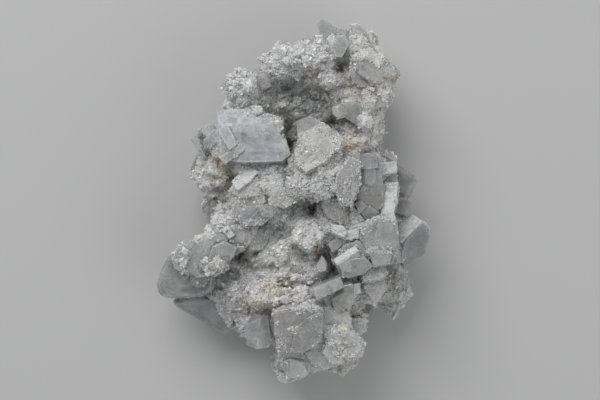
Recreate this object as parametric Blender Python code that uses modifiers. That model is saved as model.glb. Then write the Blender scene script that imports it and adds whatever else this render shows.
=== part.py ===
"""Barite specimen: clear and milky tabular crystals standing out of a mass coated with small crystals.

It lies on its broken back, with the display side up. X runs to the right of that side and Y to its top.
Sizes in the tables are millimetres. The origin is at the middle of the underside.
"""

import math
import random

import bmesh
import bpy
from mathutils import Matrix, Vector

MM = 0.001

# Driving dimensions, in millimetres
LUMP_VOXEL = 1.3  # fineness at which the lumps are fused
KNOB_HEIGHT = 2.6
KNOB_SPACING = 5.5
KNOB_LEVEL = 0.45  # share of the knob pattern that sinks below the lumps' own surface
LUMP_SMOOTHNESS = 3  # subdivisions of a lump's sphere
MASS_TRIANGLES = 1900
SOCKET_GAP = 0.55  # how far a socket corner stands off its crystal, which leaves 0.3 on its faces
SMALL_CRYSTALS = 150
SMALL_LENGTH = (3.4, 7.5)  # shortest and longest of the small crystals
SMALL_SLENDER = 0.66  # width of a small crystal over its length, near barite's 78 degree prism
SMALL_TAPER = 0.76  # width of a small crystal's outer face over its inner face
SMALL_THICK = (0.28, 0.5)  # thickness over length
SMALL_LEAN = 0.45  # how far small crystals lean at random, over 1 for 45 degrees
LOWEST_FACING = -0.5  # small crystals leave out what faces down more steeply than this
SMALL_BURIED = 0.42  # share of a small crystal that is in the mass
LEAST_HEIGHT = 3.5  # nothing grows lower than this, where the specimen broke from its wall
SEED = 7

# Each lump: centre x and y, half width in x and y, lowest and highest z
LUMPS = {
    "upper_core": (3.0, 27.0, 17.5, 15.0, 2.5, 19),
    "middle_core": (0.6, 2.0, 22.0, 20.0, 2.5, 24),
    "lower_core": (2.4, -26.0, 17.5, 17.0, 2.5, 24),
    "left_shoulder": (-13.8, 31.2, 6.9, 7.5, 2, 28),
    "left_crown": (-1.8, 41.7, 8.1, 5.7, 4, 30),
    "middle_crown": (8.7, 42.9, 8.1, 5.7, 3, 33),
    "right_crown": (18.3, 45.9, 6.6, 6.0, 5, 32),
    "right_brow": (25.2, 36.3, 6.0, 7.2, 4, 34),
    "right_cheek": (22.2, 25.2, 5.4, 8.4, 3, 32),
    "crown_root": (11.4, 36.0, 9.6, 5.4, 6, 31),
    "vug_lip": (17.0, 31.5, 6.0, 6.6, 4, 30),
    "left_flank": (-23.7, 9.9, 6.6, 9.0, 3, 27),
    "left_waist": (-20.7, -1.5, 4.2, 5.4, 4, 24),
    "tablet_bed": (-12.9, 15.3, 10.2, 11.4, -2, 30),
    "tablet_corner": (-5.4, 8.4, 7.8, 7.2, 6, 34),
    "heart": (3.0, 7.2, 9.6, 8.4, 4, 36),
    "heart_ledge": (13.5, 7.5, 8.4, 8.4, -2, 37),
    "brown_ledge": (19.2, 17.1, 5.4, 4.8, 4, 32),
    "right_flank": (25.5, 6.3, 6.6, 10.2, 3, 26),
    "right_notch": (30.9, -6.6, 4.2, 5.4, 4, 24),
    "recess_floor": (-9.3, -9.3, 11.4, 8.4, -2, 24),
    "upper_belly": (-3.0, -4.2, 6.9, 5.4, 6, 31),
    "belly": (6.3, -9.3, 8.4, 6.9, 4, 33),
    "left_belly": (-3.6, -16.8, 8.4, 6.9, 4, 30),
    "right_belly": (20.7, -11.7, 10.2, 10.2, -2, 33),
    "left_arm": (-24.0, -15.3, 8.4, 6.0, 3, 27),
    "left_elbow": (-15.6, -17.4, 6.0, 6.0, 3, 27),
    "left_hand": (-21.0, -25.2, 9.0, 7.8, 4, 21),
    "left_hip": (-8.4, -27.3, 8.4, 6.6, -2, 31),
    "left_palm": (-15.6, -27.6, 6.0, 6.6, 4, 28),
    "shaded_knob": (30.6, -26.4, 5.4, 7.5, 2, 17),
    "waist": (4.5, -21.6, 7.8, 5.7, 2, 31),
    "waist_right": (12.0, -28.5, 7.8, 5.7, 2, 33),
    "right_hip": (21.0, -26.4, 5.7, 7.8, 3, 28),
    "lower_left_bed": (-3.6, -36.0, 6.0, 9.0, -2, 28),
    "foot": (5.1, -41.7, 8.7, 8.1, -2, 31),
    "right_toe": (13.8, -44.7, 7.2, 6.0, 3, 29),
    "left_toe": (-1.2, -49.5, 5.1, 4.5, 5, 25),
    "middle_toe": (8.1, -47.4, 5.4, 4.2, 5, 26),
    "lower_right_bed": (17.7, -36.6, 4.5, 5.4, 3, 24),
    "heel": (-13.8, -36.9, 4.8, 4.8, 6, 23),
}

# Each hollow: centre x, y, z and half widths
HOLLOWS = {
    "vug": (4.5, 31.5, 28.0, 8.0, 5.2, 10.0),
    "vug_mouth": (-3.0, 33.5, 27.0, 4.0, 3.2, 7.0),
    "slot_by_tablet": (-1.0, 20.5, 30.0, 2.0, 3.6, 14.0),
    "vug_side": (13.2, 24.0, 28.0, 5.5, 2.6, 9.0),
    "crown_pit": (15.6, 39.9, 33.0, 2.8, 3.2, 6.0),
    "left_crown_pit": (-3.6, 35.4, 27.0, 2.6, 2.2, 5.0),
    "middle_pit": (3.6, -0.6, 33.0, 5.0, 3.0, 8.0),
    "recess": (-13.0, -13.0, 26.0, 5.5, 3.0, 8.0),
    "lower_pit": (7.0, -16.0, 32.0, 2.4, 3.0, 7.0),
}

# Each crystal: corners of its front face as seen from the front, the height of that face,
# the degrees that it leans to the right and to the top, its thickness and the width of its chamfers.
# The crystals that share a name have grown through each other and are one solid.
CRYSTALS = {
    "upper_left_tablet": [
        (
            [
                (-22.6, 26.4), (-21.3, 27.5), (-12.9, 27.8), (-3.4, 25.0), (-2.7, 21.0), (-0.6, 14.0),
                (-3.3, 12.0), (-14.7, 11.7), (-21.6, 12.3),
            ],
            35, (-4, 9), 7, 0,
        ),
        ([(-21.9, 22.5), (-19.5, 23.1), (-16.5, 17.1), (-19.2, 15.3)], 37, (-8, 4), 5, 0.35),
        ([(-21.9, 13.2), (-15.9, 16.8), (-14.4, 15.3), (-20.1, 11.1)], 36.5, (4, -10), 5, 0.35),
    ],
    "left_edge_blocks": [
        (
            [(-27.0, 18.9), (-24.9, 20.1), (-22.9, 17.6), (-24.6, 15.9), (-26.7, 15.9)],
            29, (-14, 6), 8, 0,
        ),
        (
            [(-30.9, 18.8), (-28.8, 20.3), (-27.6, 16.5), (-26.4, 13.5), (-27.6, 13.2)],
            27, (-20, 8), 7, 0,
        ),
        (
            [(-28.5, 21.6), (-26.4, 23.5), (-23.4, 23.1), (-23.2, 20.1), (-25.8, 19.5)],
            28, (5, 12), 6, 0,
        ),
    ],
    "left_edge_plate": [
        (
            [
                (-29.7, 14.7), (-31.9, 9.0), (-31.2, 6.9), (-28.2, 3.0), (-25.5, -0.6), (-23.1, -1.8),
                (-20.7, 1.5), (-23.4, 10.8),
            ],
            18, (-18, -6), 6, 0.7,
        ),
    ],
    "middle_left_prism": [
        (
            [
                (-16.5, 5.1), (-9.3, 7.5), (-8.1, 1.5), (-9.3, -1.5), (-14.1, -7.5), (-18.0, -4.2),
                (-18.9, 1.8),
            ],
            32.5, (-10, 8), 9, 0,
        ),
        (
            [(-13.8, 10.8), (-10.2, 9.0), (-12.9, 6.0), (-16.5, 3.3), (-18.3, 6.0)],
            33.5, (-12, 18), 8, 0,
        ),
        (
            [(-14.1, -1.5), (-9.3, -1.2), (-5.7, -4.5), (-9.3, -6.9), (-15.0, -7.5), (-15.9, -4.5)],
            33, (12, -16), 8, 0,
        ),
    ],
    "central_tablet": [
        (
            [
                (8.7, 24.0), (12.9, 21.0), (15.0, 18.9), (14.1, 16.2), (8.7, 11.4), (3.9, 8.7),
                (1.2, 10.8), (0.2, 15.3), (0.6, 17.4), (3.0, 19.8),
            ],
            37, (-6, 14), 6, 0,
        ),
    ],
    "frosted_ledge": [
        (
            [
                (13.2, 7.5), (17.1, 12.9), (20.1, 11.7), (20.1, 5.1), (17.7, -1.5), (14.4, -0.9),
                (12.9, 3.3),
            ],
            38, (8, -6), 8, 0,
        ),
    ],
    "middle_right_blocks": [
        (
            [(20.9, 9.9), (23.7, 10.8), (25.4, 9.9), (25.6, 5.7), (23.4, 3.9), (20.9, 5.1)],
            33, (8, -8), 9, 0.8,
        ),
        (
            [
                (20.9, 4.8), (23.4, 3.8), (25.9, 5.0), (25.4, -1.2), (23.4, -3.9), (19.5, -2.7),
                (18.9, 0.4),
            ],
            31.5, (8, -16), 9, 0,
        ),
        ([(18.6, -0.6), (20.1, 0.6), (22.2, -1.2), (19.8, -3.6)], 33, (-10, 8), 7, 0),
    ],
    "upper_right_tablet": [
        (
            [
                (27.2, 14.9), (38.1, 7.5), (37.8, 5.7), (35.4, 0.6), (31.5, -1.2), (27.2, 1.5),
                (26.8, 10.8),
            ],
            23, (8, 8), 6, 1.1,
        ),
        ([(26.5, 11.5), (31.2, 12.0), (31.2, 8.7), (26.3, 8.1)], 28, (2, 26), 6, 0),
        (
            [(27.3, 5.1), (31.5, 5.4), (30.9, 0.3), (29.7, -4.4), (26.6, -4.4), (26.6, -0.6)],
            30, (-4, 14), 8, 0,
        ),
        (
            [
                (31.2, -0.6), (32.4, 1.2), (35.1, 0.6), (35.7, -0.6), (35.6, -2.7), (33.6, -3.9),
                (31.5, -3.3),
            ],
            26, (12, 10), 7, 0,
        ),
    ],
    "right_tablet": [
        (
            [
                (39.3, -6.3), (41.7, -10.5), (40.5, -13.8), (40.2, -15.9), (36.0, -18.9),
                (33.9, -20.4), (32.6, -16.8), (34.2, -11.7),
            ],
            24, (26, -24), 8, 0,
        ),
    ],
    "right_cluster": [
        (
            [(25.2, -5.6), (27.3, -5.2), (29.7, -6.6), (31.0, -12.6), (29.7, -14.7), (25.5, -13.8)],
            36, (6, 6), 10, 0,
        ),
        (
            [(20.1, -8.1), (25.2, -5.6), (25.5, -13.8), (22.2, -14.7), (20.4, -11.7)],
            35.5, (-12, 6), 9, 0,
        ),
        (
            [(22.8, -15.0), (25.5, -14.4), (29.7, -15.3), (28.8, -18.3), (23.9, -19.6)],
            37, (0, -8), 9, 0,
        ),
    ],
    "stepped_bars": [
        ([(15.6, -8.6), (19.6, -7.9), (19.9, -10.5), (17.6, -11.2), (15.3, -11.4)], 34, (-5, 16), 7, 0),
        ([(10.5, -12.6), (14.6, -9.8), (16.2, -11.0), (14.2, -13.6), (11.7, -15.0)], 33, (0, 10), 7, 0),
    ],
    "envelope_tablet": [
        (
            [(12.9, -18.6), (19.0, -14.8), (22.3, -18.4), (22.0, -20.1), (18.6, -21.6), (14.7, -20.7)],
            37, (14, -18), 5, 0,
        ),
    ],
    "white_tooth": [
        ([(8.7, -15.9), (10.2, -18.3), (9.9, -20.6), (8.1, -21.2), (6.7, -19.8)], 34, (-10, 8), 5, 0),
    ],
    "rectangular_tablet": [
        ([(5.7, -25.8), (14.1, -22.2), (15.3, -25.4), (7.2, -29.3)], 38, (0, -6), 6, 0),
    ],
    "waist_tablet": [
        (
            [(11.5, -29.2), (16.5, -26.3), (19.2, -28.2), (17.4, -31.6), (12.8, -33.0)],
            33.5, (5, -12), 6, 0,
        ),
    ],
    "lower_tablet": [
        (
            [
                (-6.0, -33.3), (-2.7, -31.9), (5.4, -31.0), (9.0, -33.4), (8.1, -41.7), (2.7, -45.3),
                (-4.5, -44.7),
            ],
            36, (-4, -18), 9, 0,
        ),
    ],
    "lower_wedge": [
        ([(-14.4, -37.2), (-9.3, -34.5), (-11.1, -44.4), (-14.7, -40.8)], 28, (-22, -8), 8, 0),
        (
            [(-9.3, -34.5), (-7.4, -34.1), (-6.4, -42.6), (-7.4, -44.1), (-11.1, -44.4)],
            28, (24, -8), 8, 0,
        ),
    ],
    "lower_left_front_tablet": [
        (
            [
                (-41.7, -24.9), (-40.5, -21.3), (-38.1, -16.5), (-36.0, -15.9), (-27.0, -16.2),
                (-23.4, -21.0), (-24.3, -27.3), (-27.9, -29.1), (-37.2, -29.6), (-39.9, -29.4),
                (-41.4, -27.3),
            ],
            23, (-10, -8), 8, 0.9,
        ),
    ],
    "lower_left_back_tablet": [
        (
            [
                (-37.2, -30.3), (-35.7, -32.6), (-29.4, -36.2), (-22.2, -40.9), (-20.7, -40.9),
                (-18.6, -39.0), (-18.0, -36.3), (-20.4, -30.0),
            ],
            17.5, (-4, -14), 6, 1.2,
        ),
    ],
    "pointed_plate": [
        (
            [(21.6, -22.2), (24.3, -21.0), (27.6, -21.6), (27.9, -26.7), (24.6, -31.2), (21.9, -26.7)],
            32, (0, -10), 5, 0,
        ),
    ],
    "shaded_point": [
        (
            [(20.1, -30.4), (22.0, -30.2), (24.8, -32.0), (23.7, -34.6), (20.7, -33.0)],
            22, (-5, -4), 5, 0,
        ),
    ],
    "serrated_plate": [
        (
            [(17.7, -34.6), (20.7, -34.6), (22.5, -37.5), (20.7, -40.5), (17.7, -41.4), (15.9, -38.7)],
            22, (10, -5), 5, 0,
        ),
    ],
    "top_blade": [
        (
            [(7.8, 53.7), (9.3, 54.9), (13.5, 52.5), (14.1, 50.1), (10.5, 46.5), (8.7, 48.6)],
            24, (5, -10), 4, 0,
        ),
    ],
    "crown_plate": [
        (
            [
                (14.6, 52.8), (17.1, 51.9), (18.9, 53.1), (21.9, 51.6), (23.4, 48.3), (20.7, 45.1),
                (15.6, 46.3),
            ],
            25, (8, 12), 6, 0,
        ),
    ],
    "brow_plate": [
        (
            [(27.0, 43.8), (30.0, 41.7), (32.7, 38.4), (30.9, 36.0), (26.1, 34.9), (23.7, 39.5)],
            27, (16, 8), 6, 0,
        ),
    ],
    "crown_inner_plate": [
        ([(11.7, 45.9), (13.5, 48.6), (15.9, 47.1), (15.3, 43.5), (12.9, 42.9)], 33.5, (-6, -6), 5, 0),
    ],
    "vug_plate": [
        (
            [(17.1, 28.5), (20.4, 29.7), (21.3, 26.7), (20.1, 21.9), (17.7, 23.7), (16.2, 26.1)],
            29, (-16, -8), 6, 0,
        ),
    ],
}

# Crystals so thickly coated that they belong to the mass, in the same form as above
COATED_PLATES = {
    "left_arm_outer": (
        [
            (-35.7, -15.3), (-34.2, -13.2), (-29.1, -12.3), (-26.7, -17.4), (-27.6, -21.0),
            (-33.6, -20.4),
        ],
        29, (-18, 12), 5, 0,
    ),
    "left_arm_middle": (
        [
            (-29.1, -12.6), (-25.8, -6.9), (-20.4, -9.3), (-18.3, -15.3), (-21.3, -19.5),
            (-24.9, -20.6), (-27.3, -18.3),
        ],
        31, (-10, 18), 7, 0,
    ),
    "left_arm_inner": (
        [(-24.3, -6.3), (-17.4, -4.2), (-10.5, -8.1), (-14.1, -13.5), (-17.1, -15.3), (-20.4, -11.7)],
        30, (10, -16), 7, 0,
    ),
    "foot_plate": (
        [
            (9.9, -39.6), (15.6, -38.7), (18.6, -41.7), (22.2, -43.2), (20.7, -45.3), (17.1, -48.3),
            (11.1, -46.2),
        ],
        31, (12, -20), 7, 0,
    ),
    "toe_plate": (
        [(-5.1, -49.2), (2.1, -47.7), (3.9, -53.1), (-2.4, -55.2), (-4.5, -53.7)],
        25, (-14, -26), 7, 0,
    ),
    "instep_plate": (
        [(8.7, -50.1), (15.6, -48.3), (17.7, -51.3), (13.5, -52.5), (9.9, -51.9)],
        22, (4, -10), 6, 0,
    ),
    "crown_ridge_plate": (
        [(-4.5, 46.8), (-1.5, 47.6), (3.0, 44.4), (1.5, 41.0), (-5.0, 42.5)],
        31, (-20, 18), 6, 0,
    ),
    "crown_middle_plate": (
        [(3.6, 48.3), (8.4, 49.8), (10.8, 45.0), (7.5, 41.4), (3.3, 43.5)],
        32.5, (16, 24), 6, 0,
    ),
    "shoulder_plate": (
        [(-20.1, 37.5), (-16.5, 39.9), (-11.7, 38.1), (-12.6, 33.0), (-18.9, 32.1)],
        28.5, (-24, 10), 6, 0,
    ),
    "cheek_plate": (
        [(21.6, 33.0), (28.2, 34.8), (30.6, 30.0), (26.7, 26.1), (21.9, 27.9)],
        31.5, (24, -10), 6, 0,
    ),
    "brow_ridge_plate": (
        [(18.0, 42.0), (24.0, 44.4), (27.0, 40.2), (24.0, 36.0), (18.6, 37.2)],
        33.5, (12, -20), 6, 0,
    ),
    "heel_ledge_plate": (
        [(-12.0, -29.0), (-6.6, -26.4), (4.2, -25.2), (4.5, -29.0), (-6.0, -30.6)],
        34, (0, 14), 8, 0,
    ),
    "heart_plate": (
        [(0.9, 7.5), (6.6, 6.9), (10.8, 1.2), (6.0, -0.9), (0.0, 2.4)],
        36, (-14, -22), 6, 0,
    ),
    "belly_plate": (
        [(1.8, -6.0), (7.2, -5.1), (9.6, -10.2), (5.4, -13.5), (0.6, -11.1)],
        34, (16, 18), 6, 0,
    ),
}


def clear_scene():
    for obj in list(bpy.data.objects):
        bpy.data.objects.remove(obj)


def new_collection(name):
    collection = bpy.data.collections.new(name)
    bpy.context.scene.collection.children.link(collection)
    return collection


def crystal_material(name, colour, roughness):
    material = bpy.data.materials.new(name)
    material.use_nodes = True
    shader = material.node_tree.nodes["Principled BSDF"]
    shader.inputs["Base Color"].default_value = (*colour, 1.0)
    shader.inputs["Roughness"].default_value = roughness
    shader.inputs["Metallic"].default_value = 0.0
    return material


def add_object(name, mesh, collection, material=None):
    obj = bpy.data.objects.new(name, mesh)
    collection.objects.link(obj)
    if material:
        mesh.materials.append(material)
    return obj


def make_helper(obj):
    """Keeps a cutter or a fused piece out of the render and of the built model."""
    obj.hide_render = True
    obj.display_type = "WIRE"
    return obj


def evaluated_mesh(obj):
    """The object's mesh with its modifiers applied, in world space."""
    graph = bpy.context.evaluated_depsgraph_get()
    mesh = bpy.data.meshes.new_from_object(obj.evaluated_get(graph))
    mesh.transform(obj.matrix_world)
    return mesh


def solid_from_bmesh(name, work, collection, material=None):
    mesh = bpy.data.meshes.new(name)
    work.to_mesh(mesh)
    work.free()
    return add_object(name, mesh, collection, material)


def ellipsoid(work, centre, half_widths):
    """Adds a sphere, stretched to the half widths, to the bmesh."""
    place = Matrix.Translation(Vector(centre) * MM) @ Matrix.Diagonal((*(w * MM for w in half_widths), 1.0))
    bmesh.ops.create_icosphere(work, subdivisions=LUMP_SMOOTHNESS, radius=1.0, matrix=place)


def lump_mass(collection):
    """The mass before crystals grow on it: fused lumps with knobs, hollowed, and broken off flat."""
    work = bmesh.new()
    for x, y, half_x, half_y, low, high in LUMPS.values():
        ellipsoid(work, (x, y, (low + high) / 2), (half_x, half_y, (high - low) / 2))
    mass = make_helper(solid_from_bmesh("fused_lumps", work, collection))

    fuse = mass.modifiers.new("fuse", "REMESH")
    fuse.mode = "VOXEL"
    fuse.voxel_size = LUMP_VOXEL * MM
    knobs = bpy.data.textures.new("knobs", "VORONOI")
    knobs.noise_scale = KNOB_SPACING * MM
    raise_knobs = mass.modifiers.new("raise_knobs", "DISPLACE")
    raise_knobs.texture = knobs
    raise_knobs.strength = -KNOB_HEIGHT * MM
    raise_knobs.mid_level = KNOB_LEVEL
    for name, hollow in HOLLOWS.items():
        cutter = bmesh.new()
        ellipsoid(cutter, hollow[:3], hollow[3:])
        cut(mass, make_helper(solid_from_bmesh(name + "_cutter", cutter, collection)))
    refuse = mass.modifiers.new("close_up", "REMESH")
    refuse.mode = "VOXEL"
    refuse.voxel_size = LUMP_VOXEL * MM
    facet = mass.modifiers.new("facet", "DECIMATE")
    facet.ratio = MASS_TRIANGLES / count_triangles(mass)
    return break_off_flat(mass, collection)


def count_triangles(obj):
    mesh = evaluated_mesh(obj)
    mesh.calc_loop_triangles()
    return len(mesh.loop_triangles)


def break_off_flat(mass, collection):
    """A copy of the mass without what lies below z = 0, closed with a flat face."""
    work = bmesh.new()
    work.from_mesh(evaluated_mesh(mass))
    everything = list(work.verts) + list(work.edges) + list(work.faces)
    bmesh.ops.bisect_plane(work, geom=everything, plane_co=(0, 0, 0), plane_no=(0, 0, 1), clear_inner=True)
    bmesh.ops.holes_fill(work, edges=[e for e in work.edges if e.is_boundary], sides=0)
    bmesh.ops.triangulate(work, faces=work.faces)
    return make_helper(solid_from_bmesh("broken_mass", work, collection))


def join(obj, other):
    union = obj.modifiers.new("join_" + other.name, "BOOLEAN")
    union.operation = "UNION"
    union.object = other


def cut(obj, cutter):
    difference = obj.modifiers.new("cut_" + cutter.name, "BOOLEAN")
    difference.operation = "DIFFERENCE"
    difference.object = cutter


def tablet(name, form, collection, material=None):
    """A flat crystal: its front face lies on a leaning plane and is thickened behind it, then chamfered."""
    outline, height, (lean_right, lean_up), thickness, chamfer = form
    slope = Vector((math.tan(math.radians(lean_right)), math.tan(math.radians(lean_up))))
    corners = [Vector(corner) for corner in outline]
    middle = sum(corners, Vector((0, 0))) / len(corners)
    area = sum(a.cross(b) for a, b in zip(corners, corners[1:] + corners[:1]))
    if area < 0:
        corners.reverse()
    points = [(c.x * MM, c.y * MM, (height - slope.dot(c - middle)) * MM) for c in corners]
    mesh = bpy.data.meshes.new(name)
    mesh.from_pydata(points, [], [range(len(points))])
    obj = add_object(name, mesh, collection, material)
    thicken = obj.modifiers.new("thicken", "SOLIDIFY")
    thicken.thickness = thickness * MM
    thicken.offset = -1
    if chamfer:
        edges = obj.modifiers.new("chamfer", "BEVEL")
        edges.width = chamfer * MM
        edges.segments = 1
    return obj


def socket_cutter(crystal, collection):
    """A copy of a tablet that stands off it all round."""
    cutter = make_helper(crystal.copy())
    cutter.name = crystal.name + "_socket"
    cutter.data = crystal.data.copy()
    collection.objects.link(cutter)
    for modifier in [m for m in cutter.modifiers if m.type != "SOLIDIFY"]:
        cutter.modifiers.remove(modifier)
    swell = cutter.modifiers.new("stand_off", "DISPLACE")
    swell.strength = SOCKET_GAP * MM
    swell.mid_level = 0
    return cutter


def small_crystal(work, length, thickness, place):
    """Adds a rhombic tablet with sloping sides to the bmesh, lying in its own XY plane."""
    shape = place @ Matrix.Diagonal((1.0, SMALL_SLENDER, 1.0, 1.0))
    outer = length / 2 * SMALL_TAPER
    bmesh.ops.create_cone(
        work, cap_ends=True, segments=4, radius1=length / 2, radius2=outer, depth=thickness, matrix=shape
    )


def random_place(rng, point, normal, length):
    """A crystal's place on the mass: its length stands out along the normal, leaning at random."""
    lean = Vector([rng.gauss(0, SMALL_LEAN) for _ in range(3)])
    outward = (normal + lean).normalized()
    turn = outward.to_track_quat("X", "Z").to_matrix().to_4x4()
    spin = Matrix.Rotation(rng.uniform(0, 2 * math.pi), 4, "X")
    return Matrix.Translation(point + outward * length * (0.5 - SMALL_BURIED)) @ turn @ spin


def grow_small_crystals(mass, collection):
    """Small crystals spread evenly over the mass, each a helper to be joined to it."""
    rng = random.Random(SEED)
    faces = [f for f in mass.data.polygons if f.center.z > LEAST_HEIGHT * MM and f.normal.z > LOWEST_FACING]
    chosen = rng.choices(faces, weights=[f.area for f in faces], k=SMALL_CRYSTALS)
    for number, face in enumerate(chosen):
        length = rng.uniform(*SMALL_LENGTH) * MM
        work = bmesh.new()
        place = random_place(rng, face.center, face.normal, length)
        small_crystal(work, length, length * rng.uniform(*SMALL_THICK), place)
        yield make_helper(solid_from_bmesh(f"small_crystal_{number}", work, collection))


def largest_body(mesh):
    """Deletes every loose piece of the mesh but the largest."""
    work = bmesh.new()
    work.from_mesh(mesh)
    left, bodies = set(work.verts), []
    while left:
        body, edge_of_body = set(), [left.pop()]
        while edge_of_body:
            vert = edge_of_body.pop()
            body.add(vert)
            near = {e.other_vert(vert) for e in vert.link_edges} & left
            left -= near
            edge_of_body.extend(near)
        bodies.append(body)
    bodies.sort(key=len)
    bmesh.ops.delete(work, geom=[v for body in bodies[:-1] for v in body], context="VERTS")
    work.to_mesh(mesh)
    work.free()
    return mesh


def centre_on_origin(specimen):
    """Moves everything by the same step, so that the middle of the underside is at the origin."""
    corners = []
    for obj in specimen.objects:
        corners += [vert.co for vert in evaluated_mesh(obj).vertices]
    xs = [corner.x for corner in corners]
    ys = [corner.y for corner in corners]
    middle = Vector(((min(xs) + max(xs)) / 2, (min(ys) + max(ys)) / 2, min(corner.z for corner in corners)))
    for obj in bpy.data.objects:
        obj.location -= middle
    print("moved by", [round(value / MM, 3) for value in -middle])


def build():
    clear_scene()
    specimen = new_collection("barite_specimen")
    helpers = new_collection("helpers")
    clear = crystal_material("clear_barite", (0.74, 0.77, 0.80), 0.15)
    coating = crystal_material("small_crystal_coating", (0.72, 0.72, 0.71), 0.45)

    mass = lump_mass(helpers)
    fused = [tablet(name, form, helpers) for name, form in COATED_PLATES.items()]
    fused += grow_small_crystals(mass, helpers)
    for piece in fused:
        join(mass, make_helper(piece))

    for name, forms in CRYSTALS.items():
        crystal = tablet(name, forms[0], specimen, clear)
        grown = [crystal]
        for number, form in enumerate(forms[1:], start=2):
            grown.append(make_helper(tablet(f"{name}_{number}", form, helpers)))
        for piece in grown:
            cut(mass, socket_cutter(piece, helpers))
        for piece in grown[1:]:
            join(crystal, piece)

    add_object("coated_mass", largest_body(evaluated_mesh(mass)), specimen, coating)
    centre_on_origin(specimen)


build()
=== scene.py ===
import math

import bmesh
import bpy
import numpy as np
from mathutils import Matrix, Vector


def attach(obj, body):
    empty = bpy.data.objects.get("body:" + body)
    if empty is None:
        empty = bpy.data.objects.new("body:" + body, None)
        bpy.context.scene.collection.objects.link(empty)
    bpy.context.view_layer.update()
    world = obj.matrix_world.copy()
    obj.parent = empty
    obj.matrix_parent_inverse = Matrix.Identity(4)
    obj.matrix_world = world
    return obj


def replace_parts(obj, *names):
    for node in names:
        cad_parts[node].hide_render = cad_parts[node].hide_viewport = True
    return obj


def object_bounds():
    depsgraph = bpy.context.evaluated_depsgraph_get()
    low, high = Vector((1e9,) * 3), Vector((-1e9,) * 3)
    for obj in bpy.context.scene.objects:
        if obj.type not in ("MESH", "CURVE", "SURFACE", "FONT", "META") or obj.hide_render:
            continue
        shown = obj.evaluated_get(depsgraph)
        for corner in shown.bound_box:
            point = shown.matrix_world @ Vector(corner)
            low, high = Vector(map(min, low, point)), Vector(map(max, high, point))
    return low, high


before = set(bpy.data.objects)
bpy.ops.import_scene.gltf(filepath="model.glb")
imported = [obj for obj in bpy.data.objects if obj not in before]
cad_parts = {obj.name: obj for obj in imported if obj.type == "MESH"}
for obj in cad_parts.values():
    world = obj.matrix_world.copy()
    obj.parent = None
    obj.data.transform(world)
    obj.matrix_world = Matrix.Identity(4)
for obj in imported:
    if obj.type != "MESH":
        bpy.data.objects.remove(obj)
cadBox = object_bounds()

# Barite specimen lying on its back, seen from above: clear and milky tablets in a crust of small crystals.
# Lengths are metres and mm turns millimetres into them; the tables give places on the display side in mm.
mm = 0.001
boxLow = np.array(cadBox[0])
boxHigh = np.array(cadBox[1])


# Patterns

def cornerValue(i, j, k, seed):
    # a number from -1 to 1 for each whole-number corner, mixed from its place by multiplying and folding
    mixed = (i * 374761393 + j * 668265263 + k * 1440662683 + seed * 974634777) & 0xFFFFFFFF
    mixed = ((mixed ^ (mixed >> 13)) * 1274126177) & 0xFFFFFFFF
    return ((mixed ^ (mixed >> 16)) & 0xFFFFFF) / 0x7FFFFF - 1


def cloud(points, cell, seed):
    # smooth noise from -1 to 1: the eight corner values round a point, blended by an S-curve on each axis
    place = points / cell
    corner = np.floor(place).astype(np.int64)
    part = place - corner
    blend = part * part * (3 - 2 * part)
    total = np.zeros(len(points))
    for di in (0, 1):
        for dj in (0, 1):
            for dk in (0, 1):
                weight = np.ones(len(points))
                for axis, step in enumerate((di, dj, dk)):
                    weight = weight * (blend[:, axis] if step else 1 - blend[:, axis])
                value = cornerValue(corner[:, 0] + di, corner[:, 1] + dj, corner[:, 2] + dk, seed)
                total += weight * value
    return total


def cloudSum(points, cell, octaves, seed):
    # clouds at halving cells and halving heights, added up
    total = np.zeros(len(points))
    for octave in range(octaves):
        total += cloud(points, cell / 2 ** octave, seed + octave) / 2 ** octave
    return total


def spotField(points, spots):
    # for each spot (x, y, half width, half height, strength): strength times a bell curve of the distance
    total = np.zeros(len(points))
    for x, y, halfX, halfY, strength in spots.values():
        reach = ((points[:, 0] / mm - x) / halfX) ** 2 + ((points[:, 1] / mm - y) / halfY) ** 2
        total += strength * np.exp(-reach)
    return total


def unit(vectors):
    # each row divided by its length
    return vectors / np.maximum(np.linalg.norm(vectors, axis=1, keepdims=True), 1e-12)


def paintedShadowShare(points):
    # the painted-shadow spots, but only well below the highest faces
    low = np.clip((34.5 * mm - points[:, 2]) / (3 * mm), 0, 1)
    return np.clip(spotField(points, tintSpots["dark"]), 0, 1) * low


# Colour of the crust by place, as the photo shows it; the grey and dark spots are painted shade and shadow

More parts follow.
